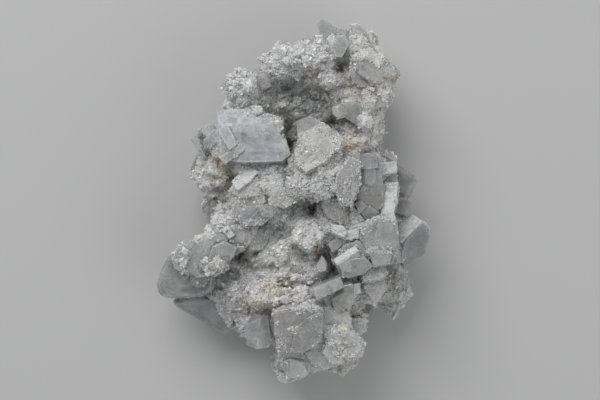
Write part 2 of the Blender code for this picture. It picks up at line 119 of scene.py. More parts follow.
tintSpots = dict(
    cream=dict(
        belowTablet=(-21.5, 9.5, 5.5, 6.5, 0.55),
        heelLedge=(-11.0, -31.0, 5.5, 3.2, 1.0),
        bellyLedge=(-4.5, -25.5, 5.0, 2.4, 0.9),
        brownLedge=(18.0, 17.5, 4.0, 3.0, 0.85),
        brow=(22.0, 36.0, 8.0, 8.0, 0.30),
        heart=(5.0, 14.5, 7.0, 6.0, 0.35),
        middleLeft=(-14.0, 0.0, 6.0, 6.0, 0.30),
        rightOfWaist=(15.5, -36.0, 2.0, 4.0, 0.7),
        crownSpot=(7.5, 45.5, 1.2, 1.2, 0.9),
    ),
    rust=dict(
        belowTablet=(-22.6, 11.6, 0.7, 2.2, 0.75),
        brow=(28.0, 36.6, 2.4, 0.8, 0.8),
        brownLedge=(18.6, 16.6, 2.6, 1.0, 0.6),
        rim=(6.5, 38.8, 2.4, 1.0, 0.4),
        crack=(7.0, -15.8, 0.8, 2.6, 0.5),
        foot=(14.6, -50.6, 0.8, 1.2, 0.6),
        wristSpot=(-24.5, -16.5, 0.8, 0.8, 0.6),
    ),
    # painted shade: grey where the recess, pits and hollows lie and on the shaded knob
    grey=dict(
        recess=(6.0, 30.0, 10.0, 6.0, 0.85),
        crownPit=(15.6, 39.6, 4.0, 5.0, 0.55),
        leftPit=(-2.0, 35.5, 4.0, 3.0, 0.5),
        hollow=(4.0, -1.0, 7.0, 5.0, 0.45),
        armpit=(-14.0, -13.0, 7.0, 4.0, 0.45),
        shadedKnob=(30.5, -26.5, 7.0, 8.0, 0.7),
        lowerLeft=(-22.0, -29.0, 6.0, 6.0, 0.25),
    ),
    # painted shadow: near black in the slot, the vug's mouth, pits, cracks and under the tablet
    dark=dict(
        slot=(-1.2, 19.2, 1.8, 5.2, 3.4),
        vugMouth=(11.6, 23.4, 2.0, 2.2, 1.3),
        vugSide=(18.8, 20.6, 1.4, 1.2, 0.9),
        leftPit=(-2.0, 34.6, 1.5, 1.3, 0.8),
        crownPit=(14.5, 39.6, 1.6, 2.6, 0.6),
        hollow=(5.4, -2.0, 1.8, 3.4, 1.0),
        armpit=(-16.0, -17.5, 3.4, 2.3, 1.1),
        underWaist=(17.0, -28.6, 1.0, 0.8, 0.7),
        crack=(12.0, -21.0, 2.0, 1.6, 0.9),
        underTablet=(-5.2, 9.6, 2.4, 1.3, 0.7),
    ),
)
# grey is the painted shade and dark the painted shadow
tintColours = dict(
    snow=(0.91, 0.91, 0.91), cream=(0.95, 0.90, 0.77), rust=(0.45, 0.26, 0.12), grey=(0.60, 0.605, 0.615),
    dark=(0.14, 0.14, 0.125),
)


def crustTint(points, rng, scatter, specks=0.0):
    # snow, mixed towards grey (painted shade), cream, rust and dark (painted shadow) by their spots, which
    # fade out below the display side, and by clouds; then brighter or darker by chance, more so in the
    # painted shade, and a share of the points, the specks, much darker
    colour = np.tile(np.array(tintColours["snow"]), (len(points), 1))
    front = np.clip((points[:, 2] - 9 * mm) / (10 * mm), 0, 1)
    for name, cell, seed in (
        ("grey", 3.5 * mm, 11), ("cream", 4 * mm, 21), ("rust", 2.5 * mm, 31), ("dark", 3 * mm, 51)
    ):
        amount = spotField(points, tintSpots[name]) * front * (1 + 0.6 * cloudSum(points, cell, 3, seed))
        if name == "cream":
            amount += 0.22 * np.clip(cloudSum(points, 9 * mm, 3, 41) - 0.1, 0, 1)
        amount = np.clip(amount, 0, 1)[:, None]
        colour = colour * (1 - amount) + np.array(tintColours[name]) * amount
        # the chance brightness spreads wider in the painted shade
        if name == "grey":
            spread = scatter * (1 + 1.6 * amount)
    speckled = 1 - 0.5 * (rng.random((len(points), 1)) < specks)
    return np.clip(colour * speckled * (1 + spread * rng.standard_normal((len(points), 1))), 0.02, 0.95)


# Meshes

def addPiece(name, corners, faces, smooth, material, colours, crease=None):
    # a mesh from whole arrays: corner places, a row of corner numbers for each face, a colour for each corner
    # (a fourth number says how frosted it is); edges that turn more than crease degrees stay sharp
    mesh = bpy.data.meshes.new(name)
    mesh.vertices.add(len(corners))
    mesh.vertices.foreach_set("co", corners.astype(np.float32).ravel())
    mesh.loops.add(faces.size)
    mesh.loops.foreach_set("vertex_index", faces.astype(np.int32).ravel())
    mesh.polygons.add(len(faces))
    mesh.polygons.foreach_set("loop_start", np.arange(0, faces.size, faces.shape[1], dtype=np.int32))
    mesh.update(calc_edges=True)
    mesh.polygons.foreach_set("use_smooth", np.full(len(faces), smooth))
    if crease:
        mesh.set_sharp_from_angle(angle=math.radians(crease))
    tint = mesh.color_attributes.new("tint", "FLOAT_COLOR", "POINT")
    if colours.shape[1] == 3:
        colours = np.column_stack([colours, np.zeros(len(colours))])
    tint.data.foreach_set("color", colours.astype(np.float32).ravel())
    mesh.materials.append(material)
    piece = bpy.data.objects.new(name, mesh)
    bpy.context.scene.collection.objects.link(piece)
    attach(piece, "root")
    return piece


def cornersOf(mesh, field="co"):
    # the places of a mesh's corners, or their normals where the field says so
    values = np.empty(len(mesh.vertices) * 3, dtype=np.float32)
    mesh.vertices.foreach_get(field, values)
    return values.reshape(-1, 3).astype(float)


def trianglesOf(mesh):
    # three corner numbers for each triangle
    mesh.calc_loop_triangles()
    numbers = np.empty(len(mesh.loop_triangles) * 3, dtype=np.int32)
    mesh.loop_triangles.foreach_get("vertices", numbers)
    return numbers.reshape(-1, 3)


def mergedCopy(node):
    # a bmesh of a CAD node with its loose triangles merged
    work = bmesh.new()
    work.from_mesh(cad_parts[node].data)
    bmesh.ops.remove_doubles(work, verts=work.verts, dist=1e-6)
    return work


def hullOf(corners):
    # the triangles of the convex shape round the corners, and its corners
    work = bmesh.new()
    for corner in corners:
        work.verts.new(corner)
    bmesh.ops.convex_hull(work, input=work.verts)
    bmesh.ops.triangulate(work, faces=work.faces)
    bmesh.ops.recalc_face_normals(work, faces=work.faces)
    mesh = bpy.data.meshes.new("hull")
    work.to_mesh(mesh)
    work.free()
    hull = cornersOf(mesh), trianglesOf(mesh)
    bpy.data.meshes.remove(mesh)
    return hull


# Crystals that grow over the large ones and fill the places between them, in groups. Each row gives the
# height of the middle of its front face in mm, the face's slope to the right and up in degrees, its
# thickness downwards in mm, its tone, its frost, and the corners of the face in mm, x and y in turn
overgrowths = dict(
    frosted_overgrowths=dict(
        crossBarCoat=(28.4, (2, 26), 4, 0.92, 0.35, 26.4, 11.6, 31.3, 12.2, 31.3, 8.6, 26.2, 8),
        longBarCoat=(30.4, (-4, 14), 5, 0.92, 0.7, 27.2, 5.2, 31.6, 5.5, 31.1, 0.2, 29.9, -4.9, 26.4, -4.8,
            26.4, -0.7),
        clusterShoulder=(34.6, (0, 14), 8, 0.92, 0.7, 21.2, -6.5, 26, -3.8, 30.2, -3.5, 31.1, -6.5,
            25.7, -6.5, 20.6, -8.3),
        envelopeStrip=(37.7, (-18, 30), 7, 0.92, 0.2, 11.9, -17.3, 18.4, -13.1, 19.4, -14.6, 15.8, -17.3,
            12.8, -18.9),
        waistStriated=(33, (10, -10), 7, 1.0, 0.5, 17.8, -24.8, 20, -24.5, 20.3, -27.5, 18.2, -28.1),
        whiteBlock=(34.5, (-8, 14), 8, 0.88, 0.8, 11.3, -6.8, 14.9, -7.2, 16.1, -9.2, 15.2, -10.8,
            12.5, -9.8, 11.3, -8.6),
        hipCrest=(33.5, (6, 14), 9, 1.05, 0.9, 20.6, -21.5, 22.7, -20, 26.3, -19.4, 28.4, -20.9, 27.2, -23,
            23.6, -23.9, 21.2, -23.6),
        tabletBar=(37.3, (-8, 4), 4, 0.9, 0.5, -22.3, 20.7, -21.1, 22.6, -19.3, 22.7, -16.5, 16.9,
            -18.9, 14.9),
        tabletLowerBar=(36.8, (4, -10), 4, 0.86, 0.5, -22, 12.9, -15.8, 16.7, -14.3, 15, -20.1, 10.8),
        upperLump=(34.5, (-6, 10), 7, 0.86, 1, -9.4, 7, -5.8, 8.2, -2.8, 6.4, -2.8, 3.7, -6.4, 1.6,
            -9.1, 3.1),
        lowerLump=(35, (8, -6), 7, 0.86, 1, -6.7, 2.2, -2.8, 4, 1.1, 3.1, 1.1, -0.2, -2.8, -2, -6.7, -1.1),
        centralFoot=(36.5, (-4, -12), 7, 0.86, 1, -2.2, 5.2, 2, 6.7, 4.1, 4.3, 1.7, 1.6, -1.6, 2.2),
        footFace=(32.4, (10, -16), 6, 1.1, 0.4, 10.7, -40.7, 14.3, -38.3, 18.8, -39.5, 20.9, -44,
            18.2, -48.2, 11.9, -49.1, 8.9, -45.5),
        toeFace=(28.3, (-6, -18), 6, 1.1, 0.3, -4, -49.1, -1, -47.3, 3.2, -48.5, 4.4, -52.1, 2, -53.6,
            -1.6, -53.3),
        toePoint=(25.2, (-10, -20), 6, 1.08, 0.3, -4.9, -53.3, -2.8, -51.8, -1, -53.6, -2.5, -55.2,
            -4.3, -54.8),
        whitePatch=(31, (6, 4), 8, 1.05, 0.5, 9.8, -35.9, 12.8, -34.4, 14.6, -36.5, 12.8, -38.3, 10.4, -38),
        rightTabletStrip=(25.6, (-28, 28), 7, 1.05, 0.5, 32, -6.5, 35.5, -3.6, 39.2, -6, 35.3, -9.5,
            32.3, -12.5, 31.7, -9.5),
        footBelow=(30, (0, -24), 6, 1.04, 0.4, 3.5, -45.5, 8.6, -44, 13.4, -45.5, 14.6, -49.1, 9.8, -50.9,
            5.6, -49.1),
        middleFace=(31.8, (-6, 8), 6, 0.9, 0.3, -28.9, -12.2, -25.6, -11, -22, -13.1, -21.4, -16.7,
            -24.4, -18.5, -27.4, -17.3, -28.9, -14.6),
        heartRight=(30.6, (4, -10), 9, 0.86, 1, 8.6, -0.2, 12.8, 1, 15.8, -0.8, 17.6, -4.1, 16.1, -7.1,
            12.2, -6.2, 9.5, -3.8),
        ledgeFoot=(32.2, (0, -8), 8, 0.72, 0.9, 17.3, -1.7, 19.1, -2.6, 21.8, -6.2, 20.9, -8, 17.9, -7.7),
        notchFill=(25.5, (20, 0), 9, 0.74, 1, 30.2, -9.5, 32.3, -11.3, 33.2, -14.9, 33.5, -18.5, 31.1, -18.5,
            29.6, -14.9),
        prismShoulder=(32.9, (-8, 6), 7, 0.84, 0.9, -19.3, 3.1, -16.9, 7, -13.9, 6.1, -10.6, 7.3, -9.4, 4.3,
            -10.6, 1.6, -16, 1),
        leftEdgeFill=(29, (-16, 0), 9, 0.8, 1, -24.4, 21.1, -21.7, 21.7, -21.4, 16.6, -21.1, 12.7,
            -23.8, 13.3, -25.6, 15.7),
        handFrost=(19.6, (-6, -12), 8, 0.72, 0.7, -24.1, -29, -20.8, -26.9, -17.2, -28.7, -17.2, -35.3,
            -19.6, -38.3, -22.6, -34.7),
        vugKnob=(28.5, (-8, -8), 8, 0.86, 1, 11.9, 28, 14, 28.9, 16.4, 27.7, 16.1, 25.3, 13.4, 24.7,
            11.9, 26.2),
        tabletTopKnob=(35, (-4, 9), 4, 0.84, 1, -12.7, 28.2, -9.7, 28.5, -8.8, 26.5, -11.2, 25.6),
        tabletSideKnob=(35.1, (-4, 9), 4, 0.84, 1, -5.8, 24.4, -3.1, 24.1, -2.5, 21.1, -4, 20.2, -5.5, 22),
        prismGap=(31.8, (0, 0), 8, 0.82, 1, -11.5, 3.7, -7.6, 4.3, -6.4, 1.3, -7, -1.1, -10.6, -1.1,
            -11.8, 1.3),
        prismBackfill=(31.6, (4, 6), 8, 0.84, 1, -11.5, 11.2, -9.1, 10.3, -7.9, 7.3, -10.6, 5.2, -12.7, 7.3),
        besideTablet=(31.2, (6, -4), 9, 1.0, 0.5, 8.6, -31.4, 12.2, -31.7, 16.7, -33.2, 17.6, -35.9,
            17, -39.5, 12.8, -39.2, 9.2, -38.9, 8.3, -34.7),
        tabletFlank=(32.4, (6, -14), 8, 0.98, 0.5, 6.8, -36.5, 9.8, -37.1, 11.3, -40.7, 10.4, -44.3,
            6.2, -45.2, 5.3, -41.3),
        heartBed=(28.8, (0, 6), 8, 0.84, 1, 7.4, -1.1, 11, 0.1, 15.5, -1.4, 17.3, -5.9, 14, -8.6, 9.2, -6.8,
            6.8, -3.8),
        centralHem=(36, (0, -6), 8, 0.84, 1, -1.6, 12.7, 2, 15.1, 12.8, 16.3, 14.6, 13.9, 12.2, 9.7,
            7.4, 6.7, 2, 7.3, -1, 9.7),
        prismTop=(32, (4, 10), 8, 0.86, 0.9, -16.6, 12.7, -12.4, 13.3, -9.1, 12.1, -10, 9.1, -14.2, 7.9,
            -17.5, 9.1),
        tabletHem=(31, (0, -20), 8, 0.95, 1, -3.7, -40.7, 2, -40.1, 6.8, -41.3, 7.4, -44.9, 2, -46.1,
            -2.8, -44.9),
        crownInnerFace=(34.3, (-6, -6), 7, 0.86, 0.15, 11.3, 46, 13.1, 49.3, 15.5, 49.5, 16.7, 46.6,
            14.6, 42.7, 12.5, 43),
        clusterSeam=(36.4, (0, 0), 4, 0.9, 1, 22.1, -14.3, 24.2, -13.5, 27.8, -13.4, 29.3, -13.8,
            29.3, -15.2, 27.2, -15.5, 24.2, -15.6, 22.4, -16.1),
        hemSlope=(29, (0, -24), 7, 0.98, 0.6, -4, -44.3, 0.8, -44.9, 5.6, -43.1, 9.2, -41.9, 11.6, -44.9,
            8.6, -48.5, 3.2, -49.7, -1.6, -49.1, -4.3, -47.3),
        armpitFill=(26.5, (20, 0), 8, 0.86, 1, -14.2, -10.7, -11.5, -8.3, -8.2, -9.5, -7.6, -12.5,
            -9.4, -14.9, -13, -14.9),
        slotPlate=(32.5, (0, 32), 10, 0.66, 0.3, 1, 24.1, 5.3, 25.6, 8.3, 24.1, 9.8, 21.4, 7.4, 19.3,
            2.9, 17.2, 1.3, 19),
    ),
    right_overgrowths=dict(
        upperBlock=(33.5, (6, 10), 10, 0.92, 0.1, 20, 13.9, 22.4, 14.5, 25.1, 13.6, 25.6, 10, 22.4, 9.3,
            20.3, 9.7),
        underBar=(27.5, (0, -12), 9, 0.88, 0.1, 25.7, 7.6, 31.1, 8.2, 31.7, 5.5, 27.8, 4.9, 26.3, 5.8),
        besideLongBar=(30.5, (-14, -4), 8, 0.92, 0.1, 25.4, 4, 27.7, 4.9, 27.2, 1, 26.6, -2, 25.1, -3.8,
            25.7, 0.1),
        barsFace=(33, (6, -14), 8, 0.86, 0.1, 15.2, -11.3, 17.6, -10.7, 20.3, -9.8, 22.1, -11.9, 22.4, -15.2,
            19.1, -14, 15.5, -15.5, 14, -14.3),
        barsShadow=(31.5, (-6, -24), 7, 0.82, 0.2, 11, -15.5, 14, -13.7, 18.2, -13.1, 14.9, -15.8,
            11.9, -18.2),
        envelopeFoot=(36.8, (6, -20), 6, 0.9, 0.2, 14, -19.7, 17, -17.3, 21.2, -16.7, 23.9, -19.4,
            20.9, -21.8, 17, -23, 14.6, -22.7),
        waistFacet=(34.2, (2, -26), 6, 0.98, 0, 14.9, -25.1, 17.8, -24.8, 18.1, -28.1, 15.2, -28.4),
        underEnvelope=(30.5, (0, 6), 8, 0.95, 0.6, 14, -20.9, 16.7, -22.1, 19.1, -22.4, 18.8, -24.2,
            15.5, -24.5, 13.7, -23),
        ledgeSide=(38, (24, 0), 7, 0.98, 0, 18.1, 10.3, 20.2, 10.3, 20, 4.9, 17.9, 0.4, 17.3, 3.1),
        ledgeRoot=(35, (10, 6), 7, 0.92, 0.4, 18.2, 14.8, 20, 14.2, 20.3, 9.7, 18.2, 9.7, 17.3, 12.7),
        lowerBlock=(32.3, (6, -14), 8, 0.95, 0.1, 20, -3.2, 22.1, -1.4, 23.9, -2, 26, -3.5, 22.4, -6.2,
            21.2, -5),
        blocksBed=(32.2, (4, -4), 8, 0.92, 0.2, 19.1, 12.7, 26, 13.3, 27.1, 4.9, 27.2, -1.4, 24.2, -4.1,
            19.7, -1.4, 19.1, 5.5),
        clusterBed=(35.6, (4, 2), 8, 0.95, 0.5, 20.3, -8.3, 26, -5, 31.1, -6.5, 31.7, -12.8, 29.9, -18.2,
            23.9, -19.1, 22.1, -14.9),
        envelopeBed=(34.6, (4, -8), 8, 0.92, 0.3, 15.2, -13.1, 20, -11.9, 23.3, -15.5, 24.2, -18.5,
            22.4, -20.9, 14.3, -22.4, 12.2, -18.5),
    ),
    middle_overgrowths=dict(
        prismStep=(33, (14, -8), 7, 0.9, 0.1, -10.6, -1.4, -6.4, -0.5, -4, -2.3, -6.4, -5, -9.4, -4.7),
        centralStep=(37.2, (6, -20), 7, 0.9, 1, 2.9, 4, 7.4, 6.7, 12.2, 5.2, 12.8, 2.2, 7.4, 0.7, 3.2, 1.6),
    ),
    arm_overgrowths=dict(
        outerFace=(29.5, (-12, 6), 6, 1.08, 0.2, -36.1, -17.3, -34.6, -13.7, -31, -12.8, -29.5, -14.9,
            -30.4, -19.7, -34, -21.2, -35.8, -20.3),
        outerSide=(31, (6, -12), 6, 0.95, 0.1, -30.7, -16.7, -28.3, -15.5, -27.1, -18.5, -27.4, -21.2,
            -31, -21.8, -32.2, -19.7),
        middleSide=(33, (4, -16), 6, 1.04, 0.1, -27.4, -18.5, -24.1, -17.3, -22.6, -18.5, -24.1, -20.9,
            -26.2, -21.8),
        squareFace=(33.3, (2, -6), 6, 0.95, 0, -23.2, -18.2, -21.1, -16.7, -19, -16.4, -19.3, -17.6,
            -20.3, -20, -22.9, -19.7),
        wedgeFace=(32, (0, -20), 6, 0.97, 0, -19.9, -14, -17.2, -14.6, -14.5, -13.5, -14.5, -14.6,
            -15.7, -15.6, -17.8, -15.8),
        innerFace=(31.5, (4, 8), 6, 1.0, 0.25, -21.4, -11.3, -17.8, -10.4, -14.8, -12.2, -15.7, -14.3,
            -19.6, -14.3, -21.7, -13.4),
        lowKnob=(25.5, (-8, -10), 6, 0.98, 0.3, -34.3, -21.5, -32.2, -20.9, -31.6, -23, -33.1, -23.9),
        palmFace=(25, (0, -8), 6, 0.8, 0.9, -31.3, -21.5, -27.1, -20.9, -25.3, -23.3, -26.8, -26.3,
            -30.4, -25.7),
        armFoot=(32.4, (2, -18), 7, 1.02, 0.1, -28, -18.5, -23.8, -17.3, -20.8, -18.5, -21.7, -21.5,
            -25.6, -22.7, -28.3, -21.2),
        armRidgeLeft=(32.3, (-10, 8), 7, 1.04, 0.3, -24.7, -11.6, -22.3, -8.9, -19.3, -10.4, -19.9, -13.7,
            -23.2, -14),
        armRidgeRight=(32.7, (12, -6), 7, 1.04, 0.3, -20.2, -9.2, -16.9, -7.4, -13.9, -9.5, -14.8, -12.8,
            -18.7, -12.2),
        armRidgeTop=(33.4, (-6, 14), 7, 1.0, 0.1, -21.7, -8.6, -19.3, -6.8, -17.2, -10.1, -19, -11.3),
        armStep=(31.8, (4, -20), 7, 0.98, 0.3, -20.2, -12.8, -17.2, -11.9, -14.5, -12.8, -15.1, -14.6,
            -18.7, -14.9),
        armBedLeft=(32.2, (-10, -4), 7, 1.16, 0.35, -31.9, -18.5, -30.1, -14, -26.8, -11.3, -23.5, -12.2,
            -22.9, -16.7, -25.3, -20.3, -28.9, -22.4, -31.3, -21.2),
        armBedRight=(33.2, (4, -14), 7, 1.14, 0.3, -24.1, -13.7, -20.2, -12.2, -16.6, -14, -17.8, -17,
            -20.5, -19.7, -23.8, -21.8, -25.9, -20.3, -25.3, -17),
    ),
    lower_overgrowths=dict(
        tabletRise=(36.3, (-4, -18), 6, 0.9, 0.35, 0.8, -37.7, 3.8, -34.7, 7.4, -33.2, 9.1, -33.5,
            8.3, -41.9, 2.9, -45.5, -1, -45.2),
        greyBlock=(27, (14, 0), 7, 0.84, 0.3, 17.3, -35.3, 20.6, -35.3, 22.1, -37.7, 20.6, -40.7,
            18.2, -39.8, 16.4, -37.7),
        instep=(24, (10, -10), 6, 0.8, 0.1, 15.5, -48.8, 17.9, -47, 19.4, -45.8, 19.1, -48.5, 17, -50.6),
    ),
    upper_overgrowths=dict(
        vugShard=(30.5, (-16, -8), 6, 0.95, 0.1, 14.3, 29.2, 17.6, 30.1, 20.3, 28.9, 21.5, 21.1, 18.8, 22.9,
            15.8, 24.7),
        browFace=(34.3, (10, 14), 8, 1.08, 0.3, 20, 41.5, 23, 43.3, 26.6, 42.7, 29.6, 40.3, 30.8, 37.3,
            27.2, 35.5, 22.4, 36.1, 19.4, 37.9),
        browEdge=(28.5, (14, 18), 7, 1.0, 0.3, 25.4, 43.9, 28.1, 43, 32.3, 39.1, 31.7, 37, 29, 39.7,
            26, 41.8),
        crownFace=(28, (10, 14), 8, 1.0, 0.25, 17.6, 52.6, 19.4, 53.5, 22.1, 51.1, 23.3, 48.4, 20.9, 46.9,
            18.2, 48.7),
        crownSpur=(29.8, (6, 10), 9, 1.0, 0.3, 13.1, 51.7, 15.5, 52, 17, 49.3, 15.5, 47.5, 13.4, 48.7),
        crownGrey=(33.8, (-4, -14), 8, 0.92, 0.2, -0.1, 42.7, 2.9, 44.2, 5.9, 43.3, 6.2, 40.3, 3.2, 39.4,
            0.2, 40),
        browStep=(33.9, (4, -14), 8, 0.97, 0.3, 17.6, 38.5, 20.6, 40.3, 23.6, 38.5, 24.8, 34.9, 20.6, 33.7,
            17.6, 35.5),
        cheekFace=(32.4, (14, -6), 8, 1.0, 0.5, 23.6, 33.7, 27.2, 34.9, 29.3, 31.9, 28.4, 28.3, 24.8, 27.7,
            23, 30.7),
    ),
)
for forms in overgrowths.values():
    for name, (height, lean, thick, tone, frosted, *outline) in forms.items():
        forms[name] = dict(
            height=height, lean=lean, thick=thick, tone=tone, frost=frosted,
            outline=np.reshape(outline, (-1, 2)),
        )


def prismOf(form):
    # the outline on its leaning plane, and the same corners moved square to the plane by the thickness
    outline = form["outline"]
    slope = np.tan(np.radians(form["lean"]))
    top = np.column_stack([outline, form["height"] - (outline - outline.mean(axis=0)) @ slope])
    down = unit(np.array([[-slope[0], -slope[1], -1.0]]))
    return hullOf(np.vstack([top, top + down * form["thick"]]) * mm)


# Where the large crystals and the mass are

cells = dict(size=0.5 * mm, margin=4, columnShift=(0.137, 0.291))
cellCount = np.ceil((boxHigh - boxLow) / cells["size"]).astype(int) + 2 * cells["margin"]


def cellOf(points):
    # the cell that holds each point, kept inside the block of cells
    place = np.floor((points - boxLow) / cells["size"]).astype(int) + cells["margin"]
    return np.clip(place, 0, cellCount - 1).T


def solidCells(corners, triangles):
    # a cell is solid where the upright line from its middle crosses the faces above it an odd number of times
    crossings = np.zeros(cellCount, dtype=np.int8)
    scaled = (corners - boxLow) / cells["size"] + cells["margin"] - 0.5
    scaled[:, :2] += cells["columnShift"]
    for a, b, c in scaled[triangles]:
        twice = (b[0] - a[0]) * (c[1] - a[1]) - (b[1] - a[1]) * (c[0] - a[0])
        if abs(twice) < 1e-9:
            continue
        low = np.ceil(np.minimum(np.minimum(a, b), c)[:2]).astype(int)
        high = np.floor(np.maximum(np.maximum(a, b), c)[:2]).astype(int) + 1
        x, y = np.mgrid[low[0]:high[0], low[1]:high[1]]
        shareB = ((x - a[0]) * (c[1] - a[1]) - (y - a[1]) * (c[0] - a[0])) / twice
        shareC = ((b[0] - a[0]) * (y - a[1]) - (b[1] - a[1]) * (x - a[0])) / twice
        inside = (shareB >= 0) & (shareC >= 0) & (shareB + shareC < 1)
        z = np.floor(a[2] + shareB * (b[2] - a[2]) + shareC * (c[2] - a[2]))[inside].astype(int)
        np.add.at(crossings, (x[inside], y[inside], np.clip(z, 0, cellCount[2] - 1)), 1)
    return np.cumsum(crossings[:, :, ::-1], axis=2, dtype=np.int8)[:, :, ::-1] % 2 == 1


def nodeCells(node):
    # the solid cells of a CAD node
    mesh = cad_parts[node].data
    return solidCells(cornersOf(mesh), trianglesOf(mesh))


def softened(solid, rounds):
    # each cell becomes the mean of itself and its two neighbours along each axis, again for each round
    field = solid.astype(np.float32)
    for turn in range(rounds):
        for axis in range(3):
            field = (field + np.roll(field, 1, axis) + np.roll(field, -1, axis)) / 3
    return field


def valueAt(field, points):
    # the value of the cell that holds each point
    return field[tuple(cellOf(points))].astype(float)


crystalCells = np.zeros(cellCount, dtype=bool)
for node in sorted(set(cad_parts) - {"coated_mass"}):
    crystalCells |= nodeCells(node)
for forms in overgrowths.values():
    for form in forms.values():
        crystalCells |= solidCells(*prismOf(form))
crystalNear = softened(crystalCells, 3)
massNear = softened(nodeCells("coated_mass"), 4)
print("cells inside the crystals", int(crystalCells.sum()))


# Materials

def newMaterial(name):
    # a material with its main shader
    material = bpy.data.materials.new(name)
    material.use_nodes = True
    return material, material.node_tree.nodes["Principled BSDF"]


def noiseNode(nodes, links, scale, detail, roughness=0.5, stretch=None):
    # noise on the piece's own coordinates; stretch gives it a grain in one direction
    place = nodes.new("ShaderNodeTexCoord")
    noise = nodes.new("ShaderNodeTexNoise")
    noise.inputs["Scale"].default_value = scale
    noise.inputs["Detail"].default_value = detail
    noise.inputs["Roughness"].default_value = roughness
    if stretch:
        mapping = nodes.new("ShaderNodeMapping")
        mapping.inputs["Rotation"].default_value = stretch[0]
        mapping.inputs["Scale"].default_value = stretch[1]
        links.new(place.outputs["Object"], mapping.inputs["Vector"])
        links.new(mapping.outputs["Vector"], noise.inputs["Vector"])
    else:
        links.new(place.outputs["Object"], noise.inputs["Vector"])
    return noise


def greyRamp(nodes, links, source, low, high, darkAt, lightAt):
    # grey from low to high as the source goes from darkAt to lightAt
    ramp = nodes.new("ShaderNodeValToRGB")
    for element, position, value in zip(ramp.color_ramp.elements, (darkAt, lightAt), (low, high)):
        element.position = position
        element.color = (value, value, value, 1)
    links.new(source, ramp.inputs["Fac"])
    return ramp


def multiplyNode(nodes, links, first, second):
    # one colour times the other
    mix = nodes.new("ShaderNodeMix")
    mix.data_type = "RGBA"
    mix.blend_type = "MULTIPLY"
    mix.inputs["Factor"].default_value = 1
    links.new(first, mix.inputs["A"])
    links.new(second, mix.inputs["B"])
    return mix


# Where each noise turns from dark to light, and the white and the least share of frost in the grains
ramps = dict(
    clouds=(0.3, 0.7), streaks=(0.35, 0.65), grains=(0.36, 0.64), frost=(0.42, 0.56), gloss=(0.35, 0.68),
)
frostWhite = (0.93, 0.925, 0.91, 1)
leastFrost = 0.25
refraction = 1.64


def bariteMaterial(name, look):
    # the painted tint, clouded, streaked and grained by small noise, whitened in grains where it is frosted,
    # with uneven gloss, and what the crystal lets through
    material, shader = newMaterial(name)
    nodes, links = material.node_tree.nodes, material.node_tree.links
    tint = nodes.new("ShaderNodeVertexColor")
    tint.layer_name = "tint"
    clouds = noiseNode(nodes, links, 1 / look["cloudSize"], 4, 0.6)
    shade = greyRamp(nodes, links, clouds.outputs["Fac"], look["dark"], look["light"], *ramps["clouds"])
    colour = multiplyNode(nodes, links, tint.outputs["Color"], shade.outputs["Color"])
    if "streakSize" in look:
        stretch = look["streakTurn"], look["streakStretch"]
        streaks = noiseNode(nodes, links, 1 / look["streakSize"], 3, 0.6, stretch)
        lines = greyRamp(nodes, links, streaks.outputs["Fac"], look["streakDark"], 1, *ramps["streaks"])
        colour = multiplyNode(nodes, links, colour.outputs["Result"], lines.outputs["Color"])
    if "grainSize" in look:
        fine = noiseNode(nodes, links, 1 / look["grainSize"], 2, 0.6)
        limits = look["grainDark"], look["grainLight"], *ramps["grains"]
        fineShade = greyRamp(nodes, links, fine.outputs["Fac"], *limits)
        colour = multiplyNode(nodes, links, colour.outputs["Result"], fineShade.outputs["Color"])
        grains = greyRamp(nodes, links, fine.outputs["Fac"], leastFrost, 1, *ramps["frost"])
        share = nodes.new("ShaderNodeMath")
        share.operation = "MULTIPLY"
        links.new(tint.outputs["Alpha"], share.inputs[0])
        links.new(grains.outputs["Color"], share.inputs[1])
        frosted = nodes.new("ShaderNodeMix")
        frosted.data_type = "RGBA"
        links.new(share.outputs["Value"], frosted.inputs["Factor"])
        links.new(colour.outputs["Result"], frosted.inputs["A"])
        frosted.inputs["B"].default_value = frostWhite
        colour = frosted
    links.new(colour.outputs["Result"], shader.inputs["Base Color"])
    gloss = noiseNode(nodes, links, 1 / look["glossSize"], 3)
    rough = greyRamp(nodes, links, gloss.outputs["Fac"], look["glossy"], look["matt"], *ramps["gloss"])
    links.new(rough.outputs["Color"], shader.inputs["Roughness"])
    shader.inputs["IOR"].default_value = refraction
    shader.inputs["Transmission Weight"].default_value = look["seeThrough"]
    shader.inputs["Subsurface Weight"].default_value = look["soft"]
    shader.inputs["Subsurface Radius"].default_value = (1.0, 1.0, 1.0)
    shader.inputs["Subsurface Scale"].default_value = look["softDepth"]
    if "absorbDensity" in look:
        absorption = nodes.new("ShaderNodeVolumeAbsorption")
        absorption.inputs["Color"].default_value = (*look["absorbColour"], 1)
        absorption.inputs["Density"].default_value = look["absorbDensity"]
        links.new(absorption.outputs["Volume"], nodes["Material Output"].inputs["Volume"])
    return material


crustStuff = bariteMaterial("crust", dict(
    cloudSize=1.6 * mm, dark=0.80, light=1.0, glossSize=0.8 * mm, glossy=0.28, matt=0.6,
    seeThrough=0.0, soft=0.6, softDepth=0.8 * mm,
))
grainStuff = bariteMaterial("smallCrystals", dict(
    cloudSize=2.2 * mm, dark=0.88, light=1.06, glossSize=1.1 * mm, glossy=0.26, matt=0.52,
    seeThrough=0.14, soft=0.7, softDepth=0.4 * mm,
))
milkyStuff = bariteMaterial("milkyBarite", dict(
    cloudSize=3.5 * mm, dark=0.70, light=1.12, streakSize=1.8 * mm, streakTurn=(0, 0, math.radians(45)),
    streakStretch=(1, 9, 1), streakDark=0.80, grainSize=0.7 * mm, grainDark=0.82, grainLight=1.12,
    glossSize=2.4 * mm, glossy=0.08, matt=0.32, seeThrough=0.52, soft=1.0, softDepth=2.0 * mm,
    absorbColour=(0.88, 0.92, 0.95), absorbDensity=10,
))
